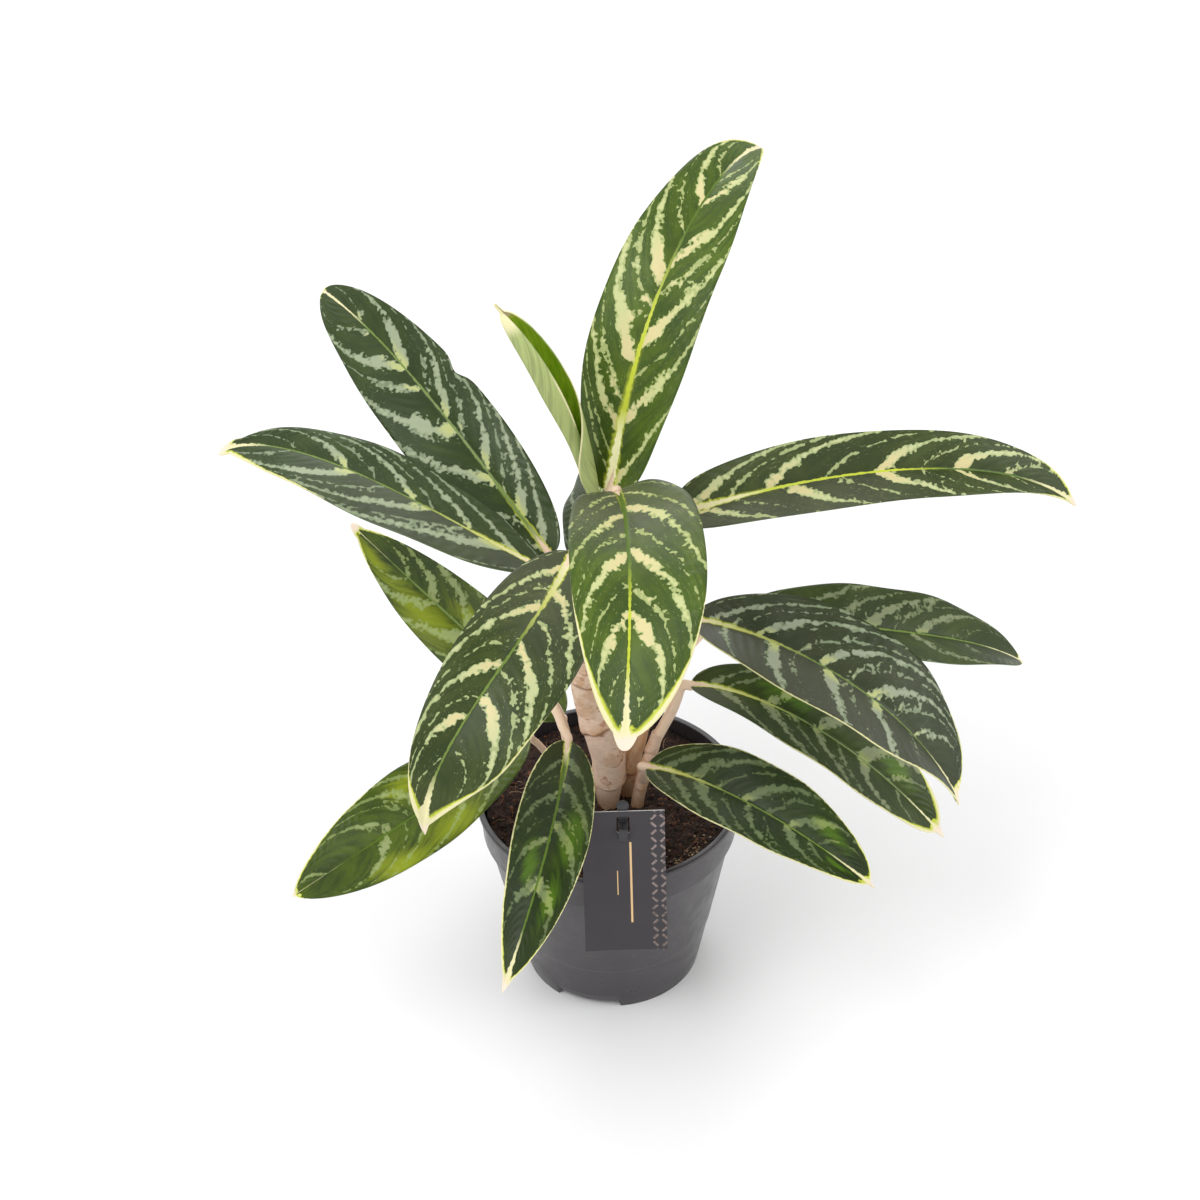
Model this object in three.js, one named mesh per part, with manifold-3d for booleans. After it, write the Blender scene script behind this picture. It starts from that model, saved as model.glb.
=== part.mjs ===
// Potted chinese evergreen: fifteen leaves on four canes, in peat in a round nursery pot, with a care card.
// Millimetres, +Z up. The pot's axis is Z, its foot stands on Z = 0 and the plant's front faces -Y.
import * as THREE from 'three';
import { mergeVertices } from 'three/addons/utils/BufferGeometryUtils.js';
import Module from 'manifold-3d';

const wasm = await Module();
wasm.setup();

// ---------- driving dimensions ----------

const seatGap = 0.3; // clearance between pieces that touch on the real plant

const pot = {
  height: 97.5,
  rimRadius: 60,
  rimHeight: 3.2,
  rimUnderside: 1, // height of the slope under the rim
  rimRounding: 0.8,
  collarHeight: 18.5,
  collarTopRadius: 58.7,
  collarFootRadius: 57.8,
  wallTopRadius: 56,
  footRadius: 40.3,
  wallThickness: 1.3,
  ledgeHeight: 28, // a faint moulded step in the wall
  ledgeStep: 0.4,
  footRingWidth: 4,
  floorRise: 3.4, // the floor is raised above the ground between the foot ring and the centre pad
  floorSlope: 1.5, // sideways run of the floor's sloped steps
  floorThickness: 1.5,
  centrePadRadius: 20,
  holeRadius: 4,
  holeRing: 28,
  holeCount: 6,
  notchCount: 3, // drainage notches in the foot ring
  notchAngle: 44,
  notchMiddle: -108,
  notchHeight: 3.4,
  segments: 60,
};

const soil = {
  edgeHeight: 91,
  shoulderHeight: 90.3,
  shoulderRadius: 36,
  middleHeight: 90,
  collarStep: 2, // the peat steps out with the wall over this height above and below the collar's foot
  collarRoom: 1, // and stands this far off the wall there
  edgeRoom: 0.6,
};

const card = {
  width: 36,
  length: 69,
  thickness: 0.6,
  lean: 14, // degrees back from upright
  middleX: 5.7,
  topHeight: 132,
  slotWidth: 5.6,
  slotLength: 8.2,
  slotBelowTop: 2.6,
};

const stake = {
  width: 4.6,
  thickness: 1.4,
  headRadius: 3.2,
  headAboveCard: 2.2,
  tongueBelowSlotTop: 2.2,
  tongueThickness: 1.4,
  tongueDrop: 3.2,
  hookThickness: 1,
  hookRounding: 0.5,
  bottomHeight: 70,
  pointLength: 10,
  pointThickness: 0.4,
};

const bark = {
  sides: 12,
  stationsPerPoint: 4, // rings of points between one point of a cane's route and the next
  scarReach: 3, // the cane swells this far above and below a leaf scar
  scarSwell: 0.35,
};

// Each cane is a route of points with the cane's radius at each of them.
const canes = [
  {
    name: 'cane_main',
    points: [
      [0, 1, 62, 4.8],
      [-0.5, 0, 90, 5],
      [0, 1, 104, 7],
      [0, 1, 120, 8],
      [-5, 1, 145, 8],
      [-7.5, 2, 165, 8],
      [-6.5, 4, 190, 7.4],
      [-3, 5, 216, 5.8],
    ],
    scars: [96, 121, 150, 172, 190, 204], // heights of the ring scars left by old leaves
  },
  {
    name: 'cane_side',
    points: [
      [8, 8, 64, 3.2],
      [8.4, 6, 90, 3.4],
      [13, 6, 120, 3.9],
      [20, 3, 150, 3.8],
      [27, 3, 182, 3.3],
    ],
    scars: [106, 132, 158],
  },
  {
    name: 'cane_right',
    points: [
      [11.5, -2, 64, 2.9],
      [12.7, -2, 90, 3],
      [17, -1, 112, 2.9],
      [22.5, 0, 131, 2.7],
    ],
    scars: [103, 120],
  },
  {
    name: 'cane_left',
    points: [
      [-16, 12, 64, 3.2],
      [-16.5, 13, 90, 3.3],
      [-17.5, 15, 111, 2.9],
    ],
    scars: [97],
  },
];

// Each leaf: the petiole's route from inside its cane, the petiole's radius, then the blade. The blade
// starts at base and heads off at heading (0 = right, 90 = back) and rise; over its length it sweeps
// sideways and droops, mostly near the tip where late is high. Width follows t^baseTaper * (1 - t)^tipTaper.
const leaves = [
  {
    name: 'leaf_top', cane: 'cane_main', petiole: [[0.5, 3.5, 208], [2.5, 3.2, 235]], petioleRadius: 2.5,
    base: [4, 2.7, 262], heading: 46, rise: 76, sweep: 17, droop: -104, late: 1.75, length: 189,
    halfWidth: 23.5, roll: 0, twist: 16, fold: 11, baseTaper: 0.41, tipTaper: 0.65, skew: -0.05,
  },
  {
    name: 'leaf_young', cane: 'cane_main', petiole: [[-5, 7, 208], [-5, 5.5, 235]], petioleRadius: 2.1,
    base: [-4.5, 3.5, 261], heading: 188, rise: 77, sweep: 9, droop: -20, late: 1.7, length: 105,
    halfWidth: 13, roll: -13, twist: -12, fold: 4, baseTaper: 0.49, tipTaper: 0.57, skew: 0,
  },
  {
    name: 'leaf_back_left', cane: 'cane_main', petiole: [[-8, 7, 174], [-12, 14, 193], [-17, 19, 206]],
    petioleRadius: 2.5, base: [-22, 24, 213.5], heading: 133.5, rise: 33.5, sweep: -10.5, droop: -40,
    late: 1.8, length: 180, halfWidth: 22.6, roll: -29, twist: -15, fold: 14, baseTaper: 0.41,
    tipTaper: 0.6, skew: 0.1,
  },
  {
    name: 'leaf_left', cane: 'cane_main', petiole: [[-9, 3, 178], [-15, 4, 200], [-20, 2.5, 215]],
    petioleRadius: 2.4, base: [-24.5, 1, 224], heading: 161.5, rise: 22.5, sweep: -23, droop: -62.5,
    late: 2.1, length: 178, halfWidth: 20, roll: 2, twist: -25, fold: 4.5, baseTaper: 0.49,
    tipTaper: 0.72, skew: 0.1,
  },
  {
    name: 'leaf_low_back_left', cane: 'cane_left', petiole: [[-17.5, 15.8, 107], [-18.5, 19, 116]],
    petioleRadius: 1.9, base: [-20, 22, 123.5], heading: 143, rise: 23.5, sweep: -16.5, droop: -19,
    late: 1.4, length: 146, halfWidth: 18.5, roll: -23, twist: -29, fold: 12, baseTaper: 0.46,
    tipTaper: 0.77, skew: 0,
  },
  {
    name: 'leaf_front_left', cane: 'cane_main', petiole: [[-7, 0, 192], [-9, -4, 220], [-10.5, -6.5, 235]],
    petioleRadius: 2.4, base: [-12, -9, 240], heading: 247.5, rise: -13.5, sweep: -37, droop: -80.5,
    late: 2.4, length: 146, halfWidth: 24.8, roll: -16, twist: -28, fold: 10, baseTaper: 0.53,
    tipTaper: 0.85, skew: 0.13,
  },
  {
    name: 'leaf_front', cane: 'cane_main', petiole: [[-1, -1.5, 198], [3.5, -7.5, 238], [6.3, -9.7, 264]],
    petioleRadius: 2.5, base: [7, -12, 273], heading: 276.5, rise: 28.5, sweep: -14.5, droop: -80,
    late: 1.05, length: 148, halfWidth: 28, roll: 8, twist: -26, fold: 17, baseTaper: 0.56,
    tipTaper: 0.57, skew: 0.1,
  },
  {
    name: 'leaf_low_left', cane: 'cane_left',
    petiole: [[-18, 13.5, 92], [-22, 10.5, 105], [-27, 5, 116.5], [-32.5, -1, 129.5]],
    petioleRadius: 1.9, base: [-35, -6.5, 136], heading: 221.5, rise: -4.5, sweep: -3, droop: -1.5,
    late: 1.4, length: 131, halfWidth: 21, roll: -3.5, twist: -43, fold: 15, baseTaper: 0.61,
    tipTaper: 0.69, skew: 0,
  },
  {
    name: 'leaf_low_front', cane: 'cane_left',
    petiole: [[-15.8, 11, 98], [-19, 9, 114], [-22, 7, 132], [-21.5, 2, 143], [-18.5, -8, 145.5]],
    petioleRadius: 1.7, base: [-16, -16, 142], heading: 264.5, rise: -1.5, sweep: -16, droop: -23,
    late: 1.4, length: 133.5, halfWidth: 16.8, roll: -13, twist: -16.5, fold: 12.5, baseTaper: 0.56,
    tipTaper: 0.75, skew: 0,
  },
  {
    name: 'leaf_low_right', cane: 'cane_right', petiole: [[15.6, -2.5, 106], [16.2, -9, 117]],
    petioleRadius: 1.9, base: [17.5, -14.7, 124.5], heading: 321.5, rise: 27, sweep: 2, droop: -48.5,
    late: 0.56, length: 122, halfWidth: 19.5, roll: 23, twist: -15, fold: 15, baseTaper: 0.57,
    tipTaper: 0.64, skew: 0.04,
  },
  {
    name: 'leaf_right', cane: 'cane_side', petiole: [[26.5, 2.5, 178], [31, -1.5, 192]], petioleRadius: 2.3,
    base: [37, -8, 202], heading: 328.5, rise: 17, sweep: 30, droop: -88, late: 0.8, length: 158,
    halfWidth: 28, roll: 23, twist: -15, fold: 21, baseTaper: 0.68, tipTaper: 0.56, skew: -0.03,
  },
  {
    name: 'leaf_under_right', cane: 'cane_right', petiole: [[21.5, 0, 127], [29.5, 1.3, 144]],
    petioleRadius: 2.2, base: [37.5, 2, 157], heading: 349.5, rise: 22.5, sweep: -3, droop: -75,
    late: 0.36, length: 142, halfWidth: 20, roll: 7.5, twist: 19.5, fold: 14, baseTaper: 0.53,
    tipTaper: 0.6, skew: 0,
  },
  {
    name: 'leaf_back_right', cane: 'cane_side', petiole: [[20, 5, 148], [32, 14, 161], [48, 25, 173]],
    petioleRadius: 2.1, base: [63, 31, 174], heading: 0, rise: -14.5, sweep: 30, droop: -31,
    late: 2.2, length: 154, halfWidth: 20.8, roll: 18, twist: 0, fold: 15, baseTaper: 0.53,
    tipTaper: 0.64, skew: 0,
  },
  {
    name: 'leaf_upper_right', cane: 'cane_main', petiole: [[1.5, 8.5, 196], [9, 8, 221], [20, 6.7, 239]],
    petioleRadius: 2.3, base: [33, 5.5, 247.5], heading: 348.5, rise: 26, sweep: 45, droop: -76,
    late: 1.24, length: 198, halfWidth: 18.5, roll: 34, twist: 9, fold: 26, baseTaper: 0.3,
    tipTaper: 0.58, skew: 0,
  },
  {
    name: 'leaf_back', cane: 'cane_main', petiole: [[-4, 8, 186], [-6, 15, 200]], petioleRadius: 2.2,
    base: [-8, 22, 211], heading: 76.5, rise: 25, sweep: 7, droop: -57.5, late: 1, length: 127,
    halfWidth: 21, roll: -36.5, twist: -28, fold: 10, baseTaper: 0.5, tipTaper: 0.61, skew: 0,
  },
];

const blade = {
  thickness: 1, // at half width
  ribDepth: 1.7, // the midrib stands this far below the blade at the base
  tipRadius: 0.6,
  steps: 60, // the midrib is walked in this many steps
  ringEvery: 4, // with a ring of points at every fourth
  junctionSteps: 2, // and at each of the first two, where the round petiole flattens into the blade
};

const petiole = {
  sides: 8,
  stations: 7,
  footSwell: 1.15, // how much thicker it is where it leaves the cane
};

const finishes = {
  pot: { color: 0x4b484b, roughness: 0.45 },
  soil: { color: 0x2e211a, roughness: 0.95 },
  cane: { color: 0xd6bda6, roughness: 0.6 },
  leaf: { color: 0x33522f, roughness: 0.4 },
  card: { color: 0x464347, roughness: 0.6 },
  stake: { color: 0x29292b, roughness: 0.4 },
};

// ---------- helpers ----------

const radians = THREE.MathUtils.degToRad;
const vector = (point) => new THREE.Vector3(point[0], point[1], point[2]);

function signedVolume(positions, index) {
  const corners = [new THREE.Vector3(), new THREE.Vector3(), new THREE.Vector3()];
  let volume = 0;
  for (let i = 0; i < index.length; i += 3) {
    corners.forEach((corner, k) => corner.fromArray(positions, index[i + k] * 3));
    volume += corners[0].dot(corners[1].clone().cross(corners[2])) / 6;
  }
  return volume;
}

// One closed surface with shared corners, no flattened triangles and its faces pointing out.
function closedSurface(geometry) {
  const bare = geometry.clone();
  bare.deleteAttribute('normal');
  bare.deleteAttribute('uv');
  const merged = mergeVertices(bare, 1e-4);
  const positions = merged.attributes.position.array;
  const index = [];
  for (let i = 0; i < merged.index.count; i += 3) {
    const [a, b, c] = [0, 1, 2].map((k) => merged.index.getX(i + k));
    if (a !== b && b !== c && c !== a) index.push(a, b, c);
  }
  if (signedVolume(positions, index) < 0) {
    for (let i = 0; i < index.length; i += 3) [index[i], index[i + 1]] = [index[i + 1], index[i]];
  }
  merged.setIndex(index);
  return merged;
}

function toSolid(geometry) {
  const surface = closedSurface(geometry);
  return new wasm.Manifold(new wasm.Mesh({
    numProp: 3,
    vertProperties: new Float32Array(surface.attributes.position.array),
    triVerts: new Uint32Array(surface.index.array),
  }));
}

function toGeometry(solid) {
  const mesh = solid.getMesh();
  const geometry = new THREE.BufferGeometry();
  geometry.setAttribute('position', new THREE.BufferAttribute(new Float32Array(mesh.vertProperties), 3));
  geometry.setIndex(new THREE.BufferAttribute(new Uint32Array(mesh.triVerts), 1));
  return geometry;
}

function largestPiece(solid) {
  return solid.decompose().reduce((best, piece) => (piece.volume() > best.volume() ? piece : best));
}

// Rings with the same number of points, joined into a skin and closed at both ends.
function loft(rings) {
  const around = rings[0].length;
  const positions = rings.flat().flatMap((point) => point.toArray());
  const index = [];
  for (let ring = 0; ring < rings.length - 1; ring += 1) {
    for (let side = 0; side < around; side += 1) {
      const next = (side + 1) % around;
      const [a, b] = [ring * around + side, ring * around + next];
      index.push(a, b, b + around, a, b + around, a + around);
    }
  }
  [0, rings.length - 1].forEach((ring) => {
    const middle = new THREE.Vector3();
    rings[ring].forEach((point) => middle.addScaledVector(point, 1 / around));
    const centre = positions.length / 3;
    positions.push(...middle.toArray());
    for (let side = 0; side < around; side += 1) {
      const [a, b] = [ring * around + side, ring * around + ((side + 1) % around)];
      index.push(...(ring === 0 ? [centre, b, a] : [centre, a, b]));
    }
  });
  const geometry = new THREE.BufferGeometry();
  geometry.setAttribute('position', new THREE.Float32BufferAttribute(positions, 3));
  geometry.setIndex(index);
  return closedSurface(geometry);
}

function turned(profile) {
  const outline = profile.map(([radius, height]) => new THREE.Vector2(radius, height));
  return new THREE.LatheGeometry(outline, pot.segments).rotateX(Math.PI / 2);
}

// ---------- pot ----------

function wallRadiusAt(height) {
  const share = height / (pot.height - pot.collarHeight);
  return THREE.MathUtils.lerp(pot.footRadius, pot.wallTopRadius, share);
}

function potBody() {
  const collarFoot = pot.height - pot.collarHeight;
  const rimFoot = pot.height - pot.rimHeight;
  const channelTop = pot.floorRise + pot.floorThickness;
  return toSolid(turned([
    [0, 0],
    [pot.centrePadRadius, 0],
    [pot.centrePadRadius + pot.floorSlope, pot.floorRise],
    [pot.footRadius - pot.footRingWidth - pot.floorSlope, pot.floorRise],
    [pot.footRadius - pot.footRingWidth, 0],
    [pot.footRadius, 0],
    [wallRadiusAt(pot.ledgeHeight), pot.ledgeHeight],
    [wallRadiusAt(pot.ledgeHeight) + pot.ledgeStep, pot.ledgeHeight + pot.ledgeStep],
    [pot.wallTopRadius, collarFoot],
    [pot.collarFootRadius, collarFoot + pot.ledgeStep],
    [pot.collarTopRadius, rimFoot],
    [pot.rimRadius, rimFoot + pot.rimUnderside],
    [pot.rimRadius, pot.height - pot.rimRounding],
    [pot.rimRadius - pot.rimRounding, pot.height],
    [pot.collarTopRadius - pot.wallThickness, pot.height],
    [pot.collarFootRadius - pot.wallThickness, collarFoot + pot.wallThickness],
    [pot.wallTopRadius - pot.wallThickness, collarFoot - pot.wallThickness],
    [wallRadiusAt(channelTop) - pot.wallThickness, channelTop],
    [pot.centrePadRadius, channelTop],
    [pot.centrePadRadius - pot.floorSlope, pot.floorThickness],
    [0, pot.floorThickness],
  ]));
}

function footNotch(middleAngle) {
  const clear = pot.footRingWidth; // the cutter reaches this far past the foot ring on both sides
  const [from, to] = [-1, 1].map((side) => radians(middleAngle + (side * pot.notchAngle) / 2));
  const sector = new THREE.Shape();
  sector.absarc(0, 0, pot.footRadius + clear, from, to, false);
  sector.absarc(0, 0, pot.footRadius - pot.footRingWidth - clear, to, from, true);
  const cutter = new THREE.ExtrudeGeometry(sector, {
    depth: 2 * pot.notchHeight, bevelEnabled: false, curveSegments: 8,
  });
  return toSolid(cutter.translate(0, 0, -pot.notchHeight));
}

function drainHole(angle) {
  const depth = 4 * pot.floorThickness;
  const hole = new THREE.CylinderGeometry(pot.holeRadius, pot.holeRadius, depth, 20);
  hole.rotateX(Math.PI / 2);
  hole.translate(pot.holeRing * Math.cos(angle), pot.holeRing * Math.sin(angle), pot.floorRise);
  return toSolid(hole);
}

function potSolid() {
  let body = potBody();
  for (let i = 0; i < pot.notchCount; i += 1) {
    body = body.subtract(footNotch(pot.notchMiddle + (360 / pot.notchCount) * i));
  }
  for (let i = 0; i < pot.holeCount; i += 1) {
    body = body.subtract(drainHole((2 * Math.PI * i) / pot.holeCount));
  }
  return body;
}

// ---------- canes ----------

// The cane's rings, with extra added all round and at both ends.
function caneRings(cane, extra) {
  const route = new THREE.CatmullRomCurve3(cane.points.map(vector));
  const stationCount = bark.stationsPerPoint * (cane.points.length - 1);
  const rings = [];
  for (let station = 0; station <= stationCount; station += 1) {
    const share = station / stationCount;
    const middle = route.getPoint(share);
    const along = route.getTangent(share);
    const position = share * (cane.points.length - 1);
    const before = Math.min(Math.floor(position), cane.points.length - 2);
    const [near, far] = [cane.points[before][3], cane.points[before + 1][3]];
    const atScar = cane.scars.some((height) => Math.abs(height - middle.z) < bark.scarReach);
    const swell = atScar ? bark.scarSwell : 0;
    const radius = THREE.MathUtils.lerp(near, far, position - before) + swell + extra;
    const side = new THREE.Vector3(1, 0, 0).addScaledVector(along, -along.x).normalize();
    const front = along.clone().cross(side);
    if (station === 0) middle.addScaledVector(along, -extra);
    if (station === stationCount) middle.addScaledVector(along, extra);
    rings.push(circle(middle, side, front, radius, bark.sides));
  }
  return rings;
}

function circle(middle, side, front, radius, count) {
  return Array.from({ length: count }, (_, i) => {
    const angle = (2 * Math.PI * i) / count;
    return middle.clone()
      .addScaledVector(side, radius * Math.cos(angle))
      .addScaledVector(front, radius * Math.sin(angle));
  });
}

const caneSolid = (cane) => toSolid(loft(caneRings(cane, 0)));

// The cane with the seat clearance added all round, for cutting its neighbours.
const caneClearance = (cane) => toSolid(loft(caneRings(cane, seatGap)));

// ---------- leaves ----------

// Directions at share t of the blade: along it, to its left, and up out of its upper face.
function bladeFrame(leaf, t) {
  const heading = radians(leaf.heading + leaf.sweep * t);
  const rise = radians(leaf.rise + leaf.droop * t ** leaf.late);
  const roll = radians(leaf.roll + leaf.twist * t);
  const along = new THREE.Vector3(
    Math.cos(rise) * Math.cos(heading), Math.cos(rise) * Math.sin(heading), Math.sin(rise),
  );
  const level = new THREE.Vector3(-Math.sin(heading), Math.cos(heading), 0);
  const upright = along.clone().cross(level);
  const left = level.clone().multiplyScalar(Math.cos(roll)).addScaledVector(upright, Math.sin(roll));
  return { along, left, up: along.clone().cross(left) };
}

function bladeHalfWidth(leaf, t) {
  const widest = leaf.baseTaper / (leaf.baseTaper + leaf.tipTaper);
  const shape = (s) => s ** leaf.baseTaper * (1 - s) ** leaf.tipTaper;
  return (leaf.halfWidth * shape(t)) / shape(widest);
}

// Eight points: left edge, upper left, rib top, upper right, right edge, lower right, rib bottom, lower left.
function bladeRing(leaf, t, middle) {
  const { left, up } = bladeFrame(leaf, t);
  const radius = THREE.MathUtils.lerp(leaf.petioleRadius, blade.tipRadius, t);
  const halfWidth = Math.max(bladeHalfWidth(leaf, t), radius);
  const fold = radians(leaf.fold);
  const edge = (side) => left.clone()
    .multiplyScalar(side * Math.cos(fold))
    .addScaledVector(up, Math.sin(fold))
    .multiplyScalar(halfWidth * (1 + side * leaf.skew));
  const half = blade.thickness / 2;
  const rib = THREE.MathUtils.lerp(blade.ribDepth, half, t);
  const flat = [
    [edge(1), 1, 0],
    [edge(1), 0.5, half],
    [edge(1), 0, half],
    [edge(-1), 0.5, half],
    [edge(-1), 1, 0],
    [edge(-1), 0.5, -half],
    [edge(1), 0, -rib],
    [edge(1), 0.5, -half],
  ].map(([across, reach, height]) => across.multiplyScalar(reach).addScaledVector(up, height));
  const round = circle(new THREE.Vector3(), left, up, radius, petiole.sides);
  const flatness = THREE.MathUtils.smoothstep(t * blade.steps, 0, blade.junctionSteps);
  return round.map((point, i) => point.lerp(flat[i], flatness).add(middle));
}

function bladeRings(leaf) {
  const middle = vector(leaf.base);
  const rings = [bladeRing(leaf, 0, middle)];
  for (let step = 1; step <= blade.steps; step += 1) {
    const halfStepBack = (step - 0.5) / blade.steps;
    middle.addScaledVector(bladeFrame(leaf, halfStepBack).along, leaf.length / blade.steps);
    const hasRing = step <= blade.junctionSteps || step % blade.ringEvery === 0;
    if (hasRing) rings.push(bladeRing(leaf, step / blade.steps, middle));
  }
  return rings;
}

function petioleRings(leaf) {
  const { along, left } = bladeFrame(leaf, 0);
  const beforeBase = vector(leaf.base).addScaledVector(along, -2 * leaf.petioleRadius);
  const route = new THREE.CatmullRomCurve3([...leaf.petiole.map(vector), beforeBase], false, 'centripetal');
  return Array.from({ length: petiole.stations + 1 }, (_, station) => {
    const share = station / petiole.stations;
    const direction = route.getTangent(share);
    const side = left.clone().addScaledVector(direction, -left.dot(direction)).normalize();
    const front = direction.clone().cross(side);
    const radius = leaf.petioleRadius * THREE.MathUtils.lerp(petiole.footSwell, 1, share);
    return circle(route.getPoint(share), side, front, radius, petiole.sides);
  });
}

function leafSolid(leaf) {
  const whole = toSolid(loft([...petioleRings(leaf), ...bladeRings(leaf)]));
  const cane = canes.find(({ name }) => name === leaf.cane);
  return largestPiece(whole.subtract(caneClearance(cane)));
}

// ---------- soil ----------

function soilSolid() {
  const floor = pot.floorRise + pot.floorThickness + seatGap;
  const collarFoot = pot.height - pot.collarHeight;
  const inside = (height) => wallRadiusAt(height) - pot.wallThickness - seatGap;
  const insideCollar = pot.collarFootRadius - pot.wallThickness;
  let block = toSolid(turned([
    [0, floor],
    [inside(floor), floor],
    [inside(collarFoot) - soil.collarRoom, collarFoot - soil.collarStep],
    [insideCollar - soil.collarRoom, collarFoot + soil.collarStep],
    [insideCollar - soil.edgeRoom, soil.edgeHeight],
    [soil.shoulderRadius, soil.shoulderHeight],
    [0, soil.middleHeight],
  ]));
  canes.forEach((cane) => {
    block = block.subtract(caneClearance(cane));
  });
  return block.subtract(stakeSolid(seatGap));
}

// ---------- care card and its stake ----------

// The card's back face passes this far forward at a given height; the card leans on the rim's outer edge.
function cardBackAt(height) {
  const aboveRim = height - pot.height + pot.rimRounding;
  return -pot.rimRadius - seatGap + aboveRim * Math.tan(radians(card.lean));
}

function cardSolid() {
  const halfWidth = card.width / 2;
  const sheet = new THREE.Shape();
  sheet.moveTo(-halfWidth, -card.length);
  sheet.lineTo(halfWidth, -card.length);
  sheet.lineTo(halfWidth, 0);
  sheet.lineTo(-halfWidth, 0);
  const halfSlot = card.slotWidth / 2;
  const slotTop = -card.slotBelowTop;
  const slot = new THREE.Path();
  slot.moveTo(-halfSlot, slotTop);
  slot.lineTo(halfSlot, slotTop);
  slot.lineTo(halfSlot, slotTop - card.slotLength);
  slot.lineTo(-halfSlot, slotTop - card.slotLength);
  sheet.holes.push(slot);
  const paper = new THREE.ExtrudeGeometry(sheet, { depth: card.thickness, bevelEnabled: false });
  paper.rotateX(Math.PI / 2 - radians(card.lean));
  return toSolid(paper.translate(card.middleX, cardBackAt(card.topHeight), card.topHeight));
}

// A flat stake standing in the soil behind the card, with a round head and a tongue that hooks down
// through the card's slot. Its side outline is drawn as [y, z] and given its width along X.
function stakeSolid(extra) {
  const front = cardBackAt(card.topHeight) + seatGap - extra;
  const back = front + stake.thickness + 2 * extra;
  const tongueTop = card.topHeight - card.slotBelowTop - stake.tongueBelowSlotTop;
  const tongueUnderside = tongueTop - stake.tongueThickness;
  const tongueFoot = tongueTop - stake.tongueDrop;
  const bottom = stake.bottomHeight - extra;
  const hookBack = cardBackAt(tongueFoot) - card.thickness - 2 * seatGap;
  const hookFront = hookBack - stake.hookThickness;
  const headHeight = card.topHeight + stake.headAboveCard;
  const outline = [
    [front, headHeight],
    [back, headHeight],
    [back, bottom],
    [back - stake.pointThickness - 2 * extra, bottom],
    [front, bottom + stake.pointLength],
    [front, tongueUnderside],
    [hookBack, tongueUnderside],
    [hookBack, tongueFoot],
    [hookFront, tongueFoot],
    [hookFront, tongueTop - stake.hookRounding],
    [hookFront + stake.hookRounding, tongueTop],
    [front, tongueTop],
  ];
  const side = new THREE.Shape(outline.map(([y, z]) => new THREE.Vector2(y, z)));
  const width = stake.width + 2 * extra;
  const strip = new THREE.ExtrudeGeometry(side, { depth: width, bevelEnabled: false });
  strip.rotateX(Math.PI / 2).rotateZ(Math.PI / 2).translate(card.middleX - width / 2, 0, 0);
  const headRadius = stake.headRadius + extra;
  const head = new THREE.CylinderGeometry(headRadius, headRadius, back - front, 24);
  head.translate(card.middleX, (front + back) / 2, headHeight);
  return toSolid(strip).add(toSolid(head));
}

// ---------- assembly ----------

function piece(name, solid, finish) {
  const material = new THREE.MeshStandardMaterial({ ...finish, metalness: 0 });
  const mesh = new THREE.Mesh(toGeometry(solid), material);
  mesh.name = name;
  return mesh;
}

const plant = new THREE.Group();
plant.add(piece('pot', potSolid(), finishes.pot));
plant.add(piece('soil', soilSolid(), finishes.soil));
canes.forEach((cane) => plant.add(piece(cane.name, caneSolid(cane), finishes.cane)));
leaves.forEach((leaf) => plant.add(piece(leaf.name, leafSolid(leaf), finishes.leaf)));
plant.add(piece('care_card', cardSolid(), finishes.card));
plant.add(piece('card_stake', stakeSolid(0), finishes.stake));

export default plant;
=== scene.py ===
import math
import random

import bmesh
import bpy
from mathutils import Matrix, Vector, noise


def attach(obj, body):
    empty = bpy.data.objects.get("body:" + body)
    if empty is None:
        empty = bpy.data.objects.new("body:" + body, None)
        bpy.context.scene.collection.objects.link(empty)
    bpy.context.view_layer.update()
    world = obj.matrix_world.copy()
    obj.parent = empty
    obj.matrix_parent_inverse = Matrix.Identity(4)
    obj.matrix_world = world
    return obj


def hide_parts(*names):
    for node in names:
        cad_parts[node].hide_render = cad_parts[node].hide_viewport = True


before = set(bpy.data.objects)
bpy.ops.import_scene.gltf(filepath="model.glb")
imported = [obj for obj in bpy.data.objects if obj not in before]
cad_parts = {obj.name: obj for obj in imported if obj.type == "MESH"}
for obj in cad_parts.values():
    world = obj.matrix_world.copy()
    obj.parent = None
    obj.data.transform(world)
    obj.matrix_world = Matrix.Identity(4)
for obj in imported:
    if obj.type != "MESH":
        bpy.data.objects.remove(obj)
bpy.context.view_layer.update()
print("frame loaded:", len(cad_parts), "nodes")

metresPerMillimetre = 0.001


def mix(low, high, share):
    return low + (high - low) * share


def ease(low, high, value):
    share = min(max((value - low) / (high - low), 0.0), 1.0)
    return share * share * (3 - 2 * share)


# A bell curve that is 1 at no distance.
def hump(distance, reach):
    return math.exp(-(distance / reach) ** 2)


def bumpAt(place, size, seed=0.0):
    return noise.noise(Vector(place) / size + Vector((seed, seed, seed)))


# A smooth route through a few points, with count stretches.
def smoothRoute(points, count):
    ends = [points[0] * 2 - points[1], *points, points[-1] * 2 - points[-2]]
    route = []
    for step in range(count + 1):
        position = step / count * (len(points) - 1)
        first = min(int(position), len(points) - 2)
        a, b, c, d = ends[first:first + 4]
        t = position - first
        route.append(0.5 * (2 * b + (c - a) * t + (2 * a - 5 * b + 4 * c - d) * t ** 2
                            + (3 * b - a - 3 * c + d) * t ** 3))
    return route


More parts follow.
